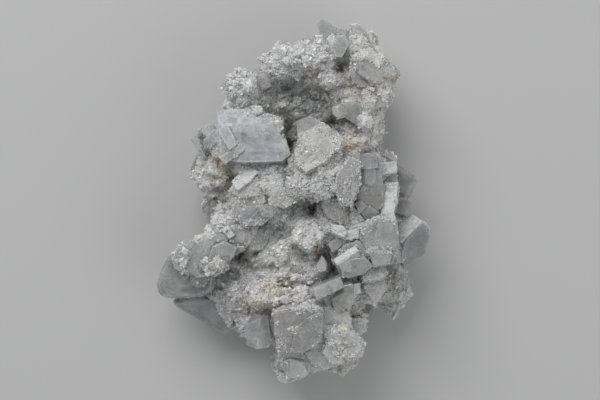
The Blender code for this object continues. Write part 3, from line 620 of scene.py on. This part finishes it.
frostedStuff = bariteMaterial("frostedBarite", dict(
    cloudSize=2.5 * mm, dark=0.80, light=1.06, streakSize=1.2 * mm, streakTurn=(0, 0, math.radians(80)),
    streakStretch=(1, 8, 1), streakDark=0.84, grainSize=0.6 * mm, grainDark=0.84, grainLight=1.08,
    glossSize=1.5 * mm, glossy=0.18, matt=0.45, seeThrough=0.32, soft=1.0, softDepth=1.2 * mm,
))
clearStuff = bariteMaterial("clearBarite", dict(
    cloudSize=5 * mm, dark=0.74, light=1.06, streakSize=2.0 * mm, streakTurn=(0, 0, math.radians(-35)),
    streakStretch=(1, 7, 1), streakDark=0.84, grainSize=0.8 * mm, grainDark=0.90, grainLight=1.04,
    glossSize=3 * mm, glossy=0.04, matt=0.20, seeThrough=0.70, soft=1.0, softDepth=2.0 * mm,
    absorbColour=(0.80, 0.87, 0.92), absorbDensity=20,
))


# The crust under the small crystals, in place of the CAD mass

crust = dict(
    cell=0.8 * mm, sink=0.35 * mm, knobHeight=0.75 * mm, knobSize=3.4 * mm, bumpHeight=0.30 * mm,
    bumpSize=1.4 * mm, toCrystals=1.6 * mm, specks=0.06, seed=101,
)


def largestIsland(corners, faces):
    # the lowest corner number spreads along the faces until it is the same all over each island; the faces of
    # the most common number stay, with their corners and the old numbers of these
    label = np.arange(len(corners))
    while True:
        spread = label.copy()
        np.minimum.at(spread, faces.ravel(), np.repeat(label[faces].min(axis=1), 3))
        spread = spread[spread]
        if np.array_equal(spread, label):
            break
        label = spread
    kept = faces[label[faces[:, 0]] == np.bincount(label[faces[:, 0]]).argmax()]
    used, renumbered = np.unique(kept, return_inverse=True)
    return corners[used], renumbered.reshape(-1, 3), used


def growCrust():
    # the CAD mass remeshed to an even net, sunk a little, then raised along its normals by rounded knobs
    # (one minus the size of a cloud), by smaller bumps, and up against the large crystals
    work = mergedCopy("coated_mass")
    mesh = bpy.data.meshes.new("crustSource")
    work.to_mesh(mesh)
    work.free()
    source = bpy.data.objects.new("crustSource", mesh)
    bpy.context.scene.collection.objects.link(source)
    net = source.modifiers.new("net", "REMESH")
    net.mode = "VOXEL"
    net.voxel_size = crust["cell"]
    graph = bpy.context.evaluated_depsgraph_get()
    fine = bpy.data.meshes.new_from_object(source.evaluated_get(graph))
    corners = cornersOf(fine)
    normals = cornersOf(fine, "normal")
    knobs = 1 - 2 * np.abs(cloudSum(corners, crust["knobSize"], 2, crust["seed"]))
    bumps = cloudSum(corners, crust["bumpSize"], 2, crust["seed"] + 9)
    height = knobs * crust["knobHeight"] + bumps * crust["bumpHeight"] - crust["sink"]
    height += crust["toCrystals"] * np.clip(valueAt(crystalNear, corners + normals * 0.3 * mm), 0, 0.7)
    resting = np.clip((corners[:, 2] - 0.6 * mm) / (1.5 * mm), 0, 1)  # the resting patches stay flat
    corners = np.clip(corners + normals * (height * resting)[:, None], boxLow, boxHigh)
    corners, faces, used = largestIsland(corners, trianglesOf(fine))
    bpy.data.objects.remove(source)
    bpy.data.meshes.remove(mesh)
    bpy.data.meshes.remove(fine)
    rng = np.random.default_rng(crust["seed"])
    # painted shade: the crust darker in the hollows between the knobs
    paintedHollowShade = 0.78 + 0.16 * np.clip(knobs[used], -1, 1)
    tints = crustTint(corners, rng, 0.05, crust["specks"]) * paintedHollowShade[:, None]
    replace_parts(addPiece("crust", corners, faces, True, crustStuff, tints), "coated_mass")
    return corners, faces


crustCorners, crustFaces = growCrust()
print("crust", len(crustFaces), "triangles")


# Frost on the large crystals: round their feet, along their margins, and in spots on top

frostSpots = dict(
    tabletTop=(-9.0, 27.0, 9.0, 1.6, 2.4),
    tabletCorner=(-5.5, 23.0, 4.6, 4.0, 2.6),
    centralUpperLeft=(1.8, 18.4, 3.2, 3.6, 1.6),
    centralTop=(7.0, 22.0, 3.5, 1.6, 1.2),
    centralLower=(7.0, 9.5, 5.0, 2.2, 1.3),
    ledge=(16.5, 6.0, 4.0, 7.5, 1.2),
    clusterLeft=(22.5, -9.5, 3.0, 4.5, 1.0),
    pointed=(24.5, -24.0, 4.0, 5.0, 1.6),
    lowerTop=(1.0, -30.5, 7.0, 1.6, 1.6),
    lowerLeft=(-2.5, -41.5, 4.0, 4.5, 1.0),
    clusterSeam=(26.5, -14.9, 4.5, 0.7, 2.0),
    rightTabletSide=(37.0, -6.5, 3.0, 3.5, 0.6),
    brow=(28.0, 40.0, 4.0, 4.0, 0.8),
    crown=(19.0, 49.0, 4.5, 4.0, 1.2),
    prism=(-15.0, 2.0, 4.5, 6.0, 0.5),
)
frost = dict(
    least=0.3 * mm, middle=0.50 * mm, most=1.0 * mm, spread=0.32, coarse=0.3, lean=0.5, width=(0.7, 1.1),
    thick=(0.5, 0.95), clearance=0.4, shade=0.05, specks=0.02, perSquare=5.4, margin=1.3 * mm, patch=3.2 * mm,
    seams=0.8, massNear=0.8 * mm, crystalNear=1.3 * mm,
)


def frostShare(points, normals, reach, share):
    # nought to one: feet in the mass and beside other crystals, a bell curve of the distance to the margin,
    # and the spots, in patches
    feet = np.clip(valueAt(massNear, points + normals * frost["massNear"]) * 4 - 0.5, 0, 1.2)
    beside = valueAt(crystalNear, points + normals * frost["crystalNear"])
    feet += np.clip(beside * 6 - 0.9, 0, 1.4) * frost["seams"]
    patchy = np.clip(0.35 + 2.0 * cloudSum(points, frost["patch"], 3, 321), 0.5 * share ** 3, 1.3)
    spots = spotField(points, frostSpots) * (0.3 + share)
    margin = np.exp(-(reach / frost["margin"]) ** 2) * share
    return np.clip(feet * (0.3 + share) + (spots + margin + 0.9 * share ** 2) * patchy, 0, 1)


# The large crystals, in place of their CAD nodes. Each row gives the material, how bright the piece is,
# the direction across its growth lines, their height in mm, how much of it small crystals cover, how far
# its colour goes towards cream (below nought towards blue), and the strength of a painted highlight along its
# edges

crystals = dict(
    upper_left_tablet=("milky", 0.84, (1.0, 0.1), 0.025, 0.25, -0.9, 0.24),
    left_edge_blocks=("milky", 0.92, (0.6, 0.8), 0.04, 0.5, 0.3, 0.24),
    left_edge_plate=("clear", 0.95, (0.9, 0.3), 0.03, 0.35, 0.3, 0.24),
    middle_left_prism=("milky", 0.88, (0.7, -0.7), 0.03, 0.6, 0.3, 0.24),
    central_tablet=("milky", 0.66, (-0.7, 0.7), 0.09, 0.8, 0.5, 0.24),
    frosted_ledge=("milky", 1.03, (0.9, 0.1), 0.04, 0.8, 0.3, 0.24),
    middle_right_blocks=("milky", 1.0, (0.4, 0.9), 0.03, 0.1, 1.6, 0.24),
    upper_right_tablet=("clear", 0.64, (0.1, 1.0), 0.05, 0.1, 0.3, 1.2),
    right_tablet=("clear", 0.68, (0.7, 0.7), 0.05, 0.2, 0.3, 1.0),
    right_cluster=("milky", 1.17, (0.2, 1.0), 0.03, 0.25, 0.3, 0.24),
    stepped_bars=("milky", 0.98, (0.3, 0.9), 0.05, 0.3, 0.3, 0.24),
    envelope_tablet=("milky", 1.2, (0.6, 0.8), 0.03, 0.05, 0.6, 0.24),
    white_tooth=("milky", 1.05, (0.6, 0.8), 0.03, 0.1, 0.3, 0.24),
    rectangular_tablet=("milky", 1.05, (0.4, 0.9), 0.03, 0.1, 1.2, 0.24),
    waist_tablet=("milky", 1.05, (0.4, 0.9), 0.03, 0.2, 1.2, 0.24),
    lower_tablet=("milky", 1.0, (1.0, 0.1), 0.04, 0.5, 1.2, 0.24),
    lower_wedge=("milky", 0.96, (0.9, 0.2), 0.06, 0.1, 0.3, 0.24),
    lower_left_front_tablet=("milky", 0.69, (0.1, 1.0), 0.03, 0.1, 0.6, 0.5),
    lower_left_back_tablet=("clear", 0.8, (0.5, 0.8), 0.03, 0.1, 0.3, 0.6),
    pointed_plate=("milky", 1.06, (0.9, 0.2), 0.03, 0.75, 0.3, 0.24),
    shaded_point=("clear", 0.75, (0.6, 0.8), 0.04, 0.3, 0.3, 0.24),
    serrated_plate=("clear", 0.7, (0.6, 0.8), 0.04, 0.3, 0.3, 0.24),
    top_blade=("clear", 1.22, (0.4, 0.9), 0.04, 0.2, 0.3, 0.5),
    crown_plate=("milky", 1.05, (0.7, 0.7), 0.04, 0.6, 0.3, 0.24),
    brow_plate=("milky", 1.03, (0.4, 0.9), 0.04, 0.5, 0.3, 0.24),
    crown_inner_plate=("milky", 1.08, (0.3, 0.9), 0.04, 0.2, 1.6, 0.24),
    vug_plate=("clear", 0.85, (0.6, 0.8), 0.04, 0.2, 0.3, 0.24),
)
crystalColumns = ("stuff", "tone", "lines", "lineHeight", "frost", "warm", "edge")
crystalCut = dict(edge=0.16 * mm, net=0.9 * mm, rounds=6, crease=24, flatRim=0.7 * mm)
# the overgrowths' growth lines, warmth and painted highlight along the edges
overgrowthLook = dict(lines=(0.4, 0.9), lineHeight=0.03, warm=0.3, edge=0.24)
growthLines = dict(waves=(3.1, 1.9, 1.3, 0.9), upwards=0.25, fade=0.4, fadeSize=4 * mm)
terraces = dict(width=1.9 * mm, height=0.055 * mm, most=3, wander=0.7 * mm, wanderSize=5 * mm)
# the crystals' colour: veils, bands, a painted highlight along the edges, brighter feet, painted shadow and
# warmth
crystalPaint = dict(
    colour=(0.88, 0.893, 0.90), warmHue=(0.012, 0.0, -0.035), veil=0.18, veilSize=4.0 * mm, band=0.035,
    bandWidth=1.3 * mm, bandWander=0.4, edgeHighlightWidth=0.35 * mm, foot=0.08, footNear=0.5 * mm, shadow=0.75,
    warmSpread=0.8, warmSize=8 * mm,
)


def bevelAndNet(work):
    # the flat faces with narrow cut edges, then halved until no edge is longer than the net;
    # the ends of the outward sharp edges come too
    bmesh.ops.dissolve_limit(work, angle_limit=math.radians(1), verts=work.verts, edges=work.edges)
    sharp = [edge for edge in work.edges if edge.is_manifold and edge.calc_face_angle() > math.radians(20)]
    ends = [[edge.verts[0].co[:], edge.verts[1].co[:]] for edge in sharp if edge.is_convex]
    width = crystalCut["edge"]
    bmesh.ops.bevel(work, geom=sharp, offset=width, segments=1, affect="EDGES", clamp_overlap=True)
    bmesh.ops.remove_doubles(work, verts=work.verts, dist=0.02 * mm)
    bmesh.ops.triangulate(work, faces=work.faces)
    for turn in range(crystalCut["rounds"]):
        long = [edge for edge in work.edges if edge.calc_length() > crystalCut["net"]]
        if not long:
            break
        bmesh.ops.subdivide_edges(work, edges=long, cuts=1)
        bmesh.ops.triangulate(work, faces=work.faces)
    mesh = bpy.data.meshes.new("net")
    work.to_mesh(mesh)
    work.free()
    return mesh, np.array(ends)


def edgeReach(points, ends):
    # distance from each point to the nearest of the straight edges, whose ends are given in pairs
    nearest = np.full(len(points), 1.0)
    for start, end in ends:
        step = end - start
        share = np.clip((points - start) @ step / (step @ step), 0, 1)
        nearest = np.minimum(nearest, np.linalg.norm(points - start - share[:, None] * step, axis=1))
    return nearest


def dressed(number, work, look):
    # raised along the normals by growth lines (four sines across one direction) and by terraces that step
    # up from the edges (whole steps of the wandering distance to the nearest edge); edges stay in place.
    # Its colour is the tone times a veil, bands, a painted highlight along the edges and brighter feet, less
    # painted shadow in the dark spots
    mesh, ends = bevelAndNet(work)
    corners = cornersOf(mesh)
    normals = cornersOf(mesh, "normal")
    rng = np.random.default_rng(500 + number)
    across = np.array([*look["lines"], growthLines["upwards"]])
    along = corners @ (across / np.linalg.norm(across))
    lines = np.zeros(len(corners))
    for wave in growthLines["waves"]:
        lines += np.sin(2 * math.pi * along / (wave * mm) + rng.uniform(0, 6.28)) / len(growthLines["waves"])
    lines *= 1 + growthLines["fade"] * (cloud(corners, growthLines["fadeSize"], 60 + number) - 1)
    reach = edgeReach(corners, ends)
    wander = terraces["wander"] * cloudSum(corners, terraces["wanderSize"], 2, 70 + number)
    stepNumber = np.clip((reach + wander) / terraces["width"], 0, terraces["most"])
    whole = np.floor(stepNumber)
    stepped = whole + np.clip((stepNumber - whole) * 5, 0, 1)
    height = lines * look["lineHeight"] * mm + (stepped - 1) * terraces["height"]
    height *= np.clip(reach / crystalCut["flatRim"], 0, 1)
    raised = np.clip(corners + normals * height[:, None], boxLow, boxHigh)
    faces = trianglesOf(mesh)
    bpy.data.meshes.remove(mesh)
    veil = cloudSum(corners, crystalPaint["veilSize"], 3, 90 + number) * crystalPaint["veil"]
    wandering = reach + crystalPaint["bandWander"] * wander
    bands = np.sin(2 * math.pi * wandering / crystalPaint["bandWidth"]) * crystalPaint["band"]
    # painted highlight: brighter along the edges
    edges = np.exp(-reach / crystalPaint["edgeHighlightWidth"]) * look["edge"]
    mass = valueAt(massNear, corners + normals * crystalPaint["footNear"])
    foot = np.clip(mass * 2, 0, 1) * crystalPaint["foot"]
    # painted shadow: darker, and less frosted, where the dark spots lie
    dark = paintedShadowShare(corners)
    bright = look["tone"] * (1 + veil + bands + edges + foot) * (1 - crystalPaint["shadow"] * dark)
    warmth = look["warm"] + crystalPaint["warmSpread"] * cloudSum(corners, crystalPaint["warmSize"], 2, 371)
    hue = 1 + warmth[:, None] * np.array(crystalPaint["warmHue"])
    tints = np.clip(np.array(crystalPaint["colour"]) * hue * bright[:, None], 0.05, 0.92)
    frosted = frostShare(corners, normals, reach, look["frost"]) * (1 - dark)
    return raised, faces, np.column_stack([tints, frosted])


crystalNets = {}
for number, (node, row) in enumerate(crystals.items()):
    look = dict(zip(crystalColumns, row))
    corners, faces, tints = dressed(number, mergedCopy(node), look)
    stuff, slot = (milkyStuff, "milky_barite") if look["stuff"] == "milky" else (clearStuff, "clear_barite")
    piece = addPiece(node + "_crystal", corners, faces, True, stuff, tints, crystalCut["crease"])
    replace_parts(piece, node)
    crystalNets[node] = corners, faces, tints[:, 3]
print("large crystals", sum(len(net[1]) for net in crystalNets.values()), "triangles")


def solidOf(corners, triangles):
    # a bmesh of a closed shape
    work = bmesh.new()
    rows = [work.verts.new(corner) for corner in corners]
    for triangle in triangles:
        work.faces.new([rows[number] for number in triangle])
    return work


def growOver(first, name, forms):
    # the group's crystals dressed one by one and joined
    joined = [[], [], []]
    start = 0
    for number, (form, look) in enumerate(forms.items(), first):
        corners, faces, tints = dressed(number, solidOf(*prismOf(look)), {**overgrowthLook, **look})
        crystalNets[form] = corners, faces, tints[:, 3]
        for rows, part in zip(joined, (corners, faces + start, tints)):
            rows.append(part)
        start += len(corners)
    corners, faces, tints = (np.vstack(rows) for rows in joined)
    stuff = frostedStuff if name.startswith("frosted") else milkyStuff
    addPiece(name, corners, faces, True, stuff, tints, crystalCut["crease"])
    return len(faces)


for turn, (name, forms) in enumerate(overgrowths.items()):
    print(name, growOver(100 + 30 * turn, name, forms), "triangles")


# Small crystals: three shapes, each a set of corners with x pointing out of the crust

def chiselCorners():
    # a four-cornered foot and a slanting ridge at the outer end
    foot = [(-0.35, side, flat) for side in (-0.5, 0.5) for flat in (-0.5, 0.5)]
    return foot + [(0.65, -0.34, 0.06), (0.46, 0.40, -0.06)]


def bladeCorners():
    # a rhombic tablet, its outer end cut aslant and thinner
    outline = ((-0.42, -0.42, 0.5), (-0.42, 0.42, 0.5), (0.60, 0.16, 0.34), (0.30, -0.46, 0.38))
    return [(x, y, side * thick) for x, y, thick in outline for side in (-1, 1)]


def blockCorners():
    # a box with all its edges cut off, pushed over to a rhombic outline
    cut = 0.07
    corners = []
    for x in (-1, 1):
        for y in (-1, 1):
            for z in (-1, 1):
                for inX, inY, inZ in ((0, 1, 1), (1, 0, 1), (1, 1, 0)):
                    place = np.array([x, y, z]) * (0.5 - cut * np.array([inX, inY, inZ]))
                    corners.append((place[0] - 0.14, place[1] + 0.2 * place[0], place[2]))
    return corners


def pickPlaces(rng, corners, faces, weight, perSquare):
    # places on the net: a triangle by its area times the weight at its middle, then an even point in it;
    # perSquare is how many there are on a square millimetre where the weight is one
    triangle = corners[faces]
    cross = np.cross(triangle[:, 1] - triangle[:, 0], triangle[:, 2] - triangle[:, 0])
    area = np.linalg.norm(cross, axis=1) / 2
    facing = unit(cross)
    chance = area * (np.clip(weight(triangle.mean(axis=1), facing), 0, None) + 1e-9)
    count = int(chance.sum() / mm ** 2 * perSquare)
    picked = rng.choice(len(faces), size=count, p=chance / chance.sum())
    first = np.sqrt(rng.random(count))
    second = rng.random(count)
    shares = np.column_stack([1 - first, first * (1 - second), first * second])
    places = (triangle[picked] * shares[:, :, None]).sum(axis=1)
    return places, facing[picked]


def chanceSizes(rng, places, look):
    # sizes spread as a bell curve of their logarithm, coarser and finer by clouds
    coarse = 1 + look["coarse"] * cloudSum(places, 9 * mm, 2, 301)
    sizes = look["middle"] * coarse * np.exp(look["spread"] * rng.standard_normal(len(places)))
    return np.clip(sizes, look["least"], look["most"])


def growSmall(name, rng, shape, spots, look, tintOf=None, material=grainStuff):
    # each crystal's axes: outward is the normal leaned by chance, side is square to it, the third to both;
    # those that would leave the box or end deep inside a large crystal are left out. Their colour is the
    # crust's, unless tintOf gives another
    places, normals = spots
    count = len(places)
    size = chanceSizes(rng, places, look)
    outward = unit(normals + look["lean"] * rng.standard_normal((count, 3)))
    side = unit(np.cross(outward, rng.standard_normal((count, 3))))
    third = np.cross(outward, side)
    width = size * rng.uniform(*look["width"], count)
    thick = size * rng.uniform(*look["thick"], count)
    template, triangles = shape
    corners = places[:, None, :] + template[None, :, 0:1] * (size[:, None] * outward)[:, None, :]
    corners = corners + template[None, :, 1:2] * (width[:, None] * side)[:, None, :]
    corners = corners + template[None, :, 2:3] * (thick[:, None] * third)[:, None, :]
    inside = np.all((corners > boxLow) & (corners < boxHigh), axis=(1, 2))
    tips = places + outward * (look["clearance"] * size)[:, None]
    free = valueAt(crystalCells, tips) < 0.5
    corners = corners[inside & free]
    kept = places[inside & free]
    tints = tintOf(kept) if tintOf else crustTint(kept, rng, look["shade"], look["specks"])
    faces = triangles[None, :, :] + (np.arange(len(corners)) * len(template))[:, None, None]
    tints = np.repeat(tints, len(template), axis=0)
    addPiece(name, corners.reshape(-1, 3), faces.reshape(-1, 3), False, material, tints)
    return len(faces)


chisel = hullOf(chiselCorners())
blade = hullOf(bladeCorners())
block = hullOf(blockCorners())


def visible(middles, facing):
    # nought where a large crystal or the mass lies just above, one in the open
    above = middles + facing * 0.9 * mm
    beside = np.clip(valueAt(crystalNear, above) - 0.15, 0, 1)
    return 1 - np.clip(2.5 * beside + 1.2 * valueAt(massNear, above + facing * mm), 0, 1)


# Milky blocks a few millimetres long, grown through the crust

blocks = dict(
    least=2.2 * mm, middle=3.6 * mm, most=6.0 * mm, spread=0.26, coarse=0.2, lean=0.5, width=(0.7, 1.0),
    thick=(0.4, 0.8), clearance=0.3, perSquare=0.022,
)
blockSpots = dict(
    arm=(-24.0, -17.0, 8.0, 6.0, 2.0),
    shoulder=(-15.0, -14.5, 7.0, 4.0, 1.0),
    middleLeft=(-15.0, 1.0, 8.0, 8.0, 1.6),
    heart=(7.0, 6.0, 9.0, 6.0, 1.8),
    betweenRight=(19.0, -3.0, 9.0, 5.0, 2.6),
    rightHip=(19.0, -19.0, 7.0, 6.0, 1.4),
    foot=(5.0, -46.0, 12.0, 6.0, 1.8),
    waist=(10.0, -24.0, 8.0, 6.0, 1.2),
    leftCrown=(-12.0, 31.0, 8.0, 6.0, 0.8),
    leftFlank=(-24.0, 6.0, 6.0, 8.0, 0.8),
    palm=(-12.0, -24.0, 8.0, 6.0, 0.8),
)


def growBlocks():
    # most in the spots, in patches, and fewer where the crust faces down
    rng = np.random.default_rng(977)

    def blockWeight(middles, facing):
        patchy = np.clip(0.7 + 0.8 * cloudSum(middles, 8 * mm, 2, 331), 0.1, 2)
        spots = 0.06 + spotField(middles, blockSpots)
        hollow = np.clip(1 - 2 * spotField(middles, tintSpots["grey"]), 0, 1)
        upwards = np.clip(facing[:, 2] + 0.7, 0.05, 1) * (middles[:, 2] > 4 * mm)
        return patchy * spots * hollow * upwards * visible(middles, facing)

    def blockTint(places):
        chance = 0.07 * rng.standard_normal((len(places), 1))
        shade = np.clip(0.95 + chance + 0.10 * cloud(places, 6 * mm, 341)[:, None], 0.75, 1.12)
        pale = (crustTint(places, rng, 0.02) + 1.5 * np.array(tintColours["snow"])) / 2.5
        return np.column_stack([np.clip(pale * shade, 0.05, 0.95), np.full(len(places), 0.5)])

    spots = pickPlaces(rng, crustCorners, crustFaces, blockWeight, blocks["perSquare"])
    return growSmall("milky_blocks", rng, block, spots, blocks, blockTint, milkyStuff)


print("milky blocks", growBlocks())


# The sugary druse over the crust, in four pieces

druseRegions = dict(
    upper_lobe_druse=dict(left=-60, right=60, low=18, high=60),
    middle_druse=dict(left=-60, right=60, low=-9, high=18),
    lower_left_druse=dict(left=-60, right=-2, low=-60, high=-9),
    lower_right_druse=dict(left=-2, right=60, low=-60, high=-9),
)
druse = dict(
    least=0.4 * mm, middle=0.72 * mm, most=1.6 * mm, spread=0.34, coarse=0.35, lean=0.55, width=(0.7, 1.1),
    thick=(0.5, 0.95), clearance=0.2, shade=0.06, specks=0.03, perSquare=3.6,
)


def growDruse(number, name, region):
    rng = np.random.default_rng(900 + number)

    def druseWeight(middles, facing):
        # only inside the region, thin on the underside, patchy by clouds, and thin in the painted-shadow
        # spots
        x, y = middles[:, 0] / mm, middles[:, 1] / mm
        here = (y >= region["low"]) & (y < region["high"]) & (x >= region["left"]) & (x < region["right"])
        under = np.clip(facing[:, 2] * 2.2 + 1.5, 0.12, 1)
        patchy = np.clip(0.9 + 0.5 * cloudSum(middles, 5 * mm, 2, 311), 0.25, 1.5)
        dark = 1 - np.clip(0.8 * spotField(middles, tintSpots["dark"]), 0, 0.85)
        return here * under * patchy * dark * (middles[:, 2] > 1.2 * mm) * visible(middles, facing)

    spots = pickPlaces(rng, crustCorners, crustFaces, druseWeight, druse["perSquare"])
    return growSmall(name, rng, chisel, spots, druse)


grown = [growDruse(number, name, region) for number, (name, region) in enumerate(druseRegions.items())]
print("small crystals on the crust", sum(grown))


# Larger blades here and there in the druse

blades = dict(
    least=1.2 * mm, middle=1.6 * mm, most=2.5 * mm, spread=0.3, coarse=0.2, lean=0.6, width=(0.6, 1.0),
    thick=(0.3, 0.6), clearance=0.3, shade=0.06, specks=0.0, perSquare=0.18,
)


def growBlades():
    # in patches, and fewer where the crust faces down
    rng = np.random.default_rng(961)

    def bladeWeight(middles, facing):
        patchy = np.clip(0.5 + 1.2 * cloudSum(middles, 7 * mm, 2, 351), 0, 2)
        upwards = np.clip(facing[:, 2] + 0.6, 0.03, 1) * (middles[:, 2] > 3 * mm)
        return patchy * upwards * visible(middles, facing)

    spots = pickPlaces(rng, crustCorners, crustFaces, bladeWeight, blades["perSquare"])
    return growSmall("druse_blades", rng, blade, spots, blades)


print("larger blades", growBlades())


def growFrost():
    # small crystals on every large one, picked by how frosted it is
    rng = np.random.default_rng(951)
    grown = []
    for corners, faces, frosted in crystalNets.values():

        def frostWeight(middles, facing):
            # where the frost is more than a third, but not under the mass or a crystal
            share = np.clip(1.5 * frosted[faces].mean(axis=1) - 0.5, 0, 1)
            buried = valueAt(massNear, middles + facing * 1.6 * mm) > 0.4
            return share * ~buried * (valueAt(crystalCells, middles + facing * 0.8 * mm) < 0.5)

        grown.append(pickPlaces(rng, corners, faces, frostWeight, frost["perSquare"]))
    spots = [np.vstack(rows) for rows in zip(*grown)]
    return growSmall("frost", rng, chisel, spots, frost)


print("frost crystals", growFrost())


# Table top, light and camera

studio = dict(
    floorSize=6.0, floorColour=(0.55, 0.55, 0.545), worldColour=(0.97, 0.98, 1.0), worldStrength=0.32,
    keyPlace=(-0.25, 0.55, 0.62), keySize=0.7, keyPower=4.8,
    fillPlace=(0.55, -0.35, 0.50), fillSize=0.8, fillPower=1.35, aimHeight=0.02,
)
view = dict(
    pixel=0.30 * mm, pixels=600, middle=(2.1 * mm, 0.3 * mm), distance=0.62, halfHeight=30 * mm, sensor=36,
)


def addFloor():
    # a wide square under the specimen
    mesh = bpy.data.meshes.new("tableTop")
    half = studio["floorSize"] / 2
    corners = [(-half, -half, 0), (half, -half, 0), (half, half, 0), (-half, half, 0)]
    mesh.from_pydata(corners, [], [(0, 1, 2, 3)])
    floor = bpy.data.objects.new("tableTop", mesh)
    bpy.context.scene.collection.objects.link(floor)
    material, shader = newMaterial("tableTop")
    shader.inputs["Base Color"].default_value = (*studio["floorColour"], 1)
    shader.inputs["Roughness"].default_value = 0.8
    mesh.materials.append(material)


def addLight(name, place, size, power):
    # a round lamp turned towards a point a little above the floor
    light = bpy.data.lights.new(name, "AREA")
    light.shape = "DISK"
    light.size = size
    light.energy = power
    lamp = bpy.data.objects.new(name, light)
    lamp.location = place
    away = np.array(place) - np.array((0, 0, studio["aimHeight"]))
    tilt = math.atan2(math.hypot(away[0], away[1]), away[2])
    lamp.rotation_euler = (tilt, 0, math.atan2(away[0], -away[1]))
    bpy.context.scene.collection.objects.link(lamp)


def addWorld():
    # even light from all round
    world = bpy.data.worlds.new("studio")
    bpy.context.scene.world = world
    world.use_nodes = True
    background = world.node_tree.nodes["Background"]
    background.inputs["Color"].default_value = (*studio["worldColour"], 1)
    background.inputs["Strength"].default_value = studio["worldStrength"]


def addCamera():
    # straight down on the display side, far enough for a long lens; 0.3 mm to a pixel at half height
    camera = bpy.data.cameras.new("camera")
    camera.sensor_width = view["sensor"]
    camera.lens = view["sensor"] * (view["distance"] - view["halfHeight"]) / (view["pixels"] * view["pixel"])
    viewer = bpy.data.objects.new("camera", camera)
    viewer.location = (*view["middle"], view["distance"])
    bpy.context.scene.collection.objects.link(viewer)
    bpy.context.scene.camera = viewer


addFloor()
addLight("key", studio["keyPlace"], studio["keySize"], studio["keyPower"])
addLight("fill", studio["fillPlace"], studio["fillSize"], studio["fillPower"])
addWorld()
addCamera()
bpy.context.scene.view_settings.view_transform = "Standard"
print("studio set up")
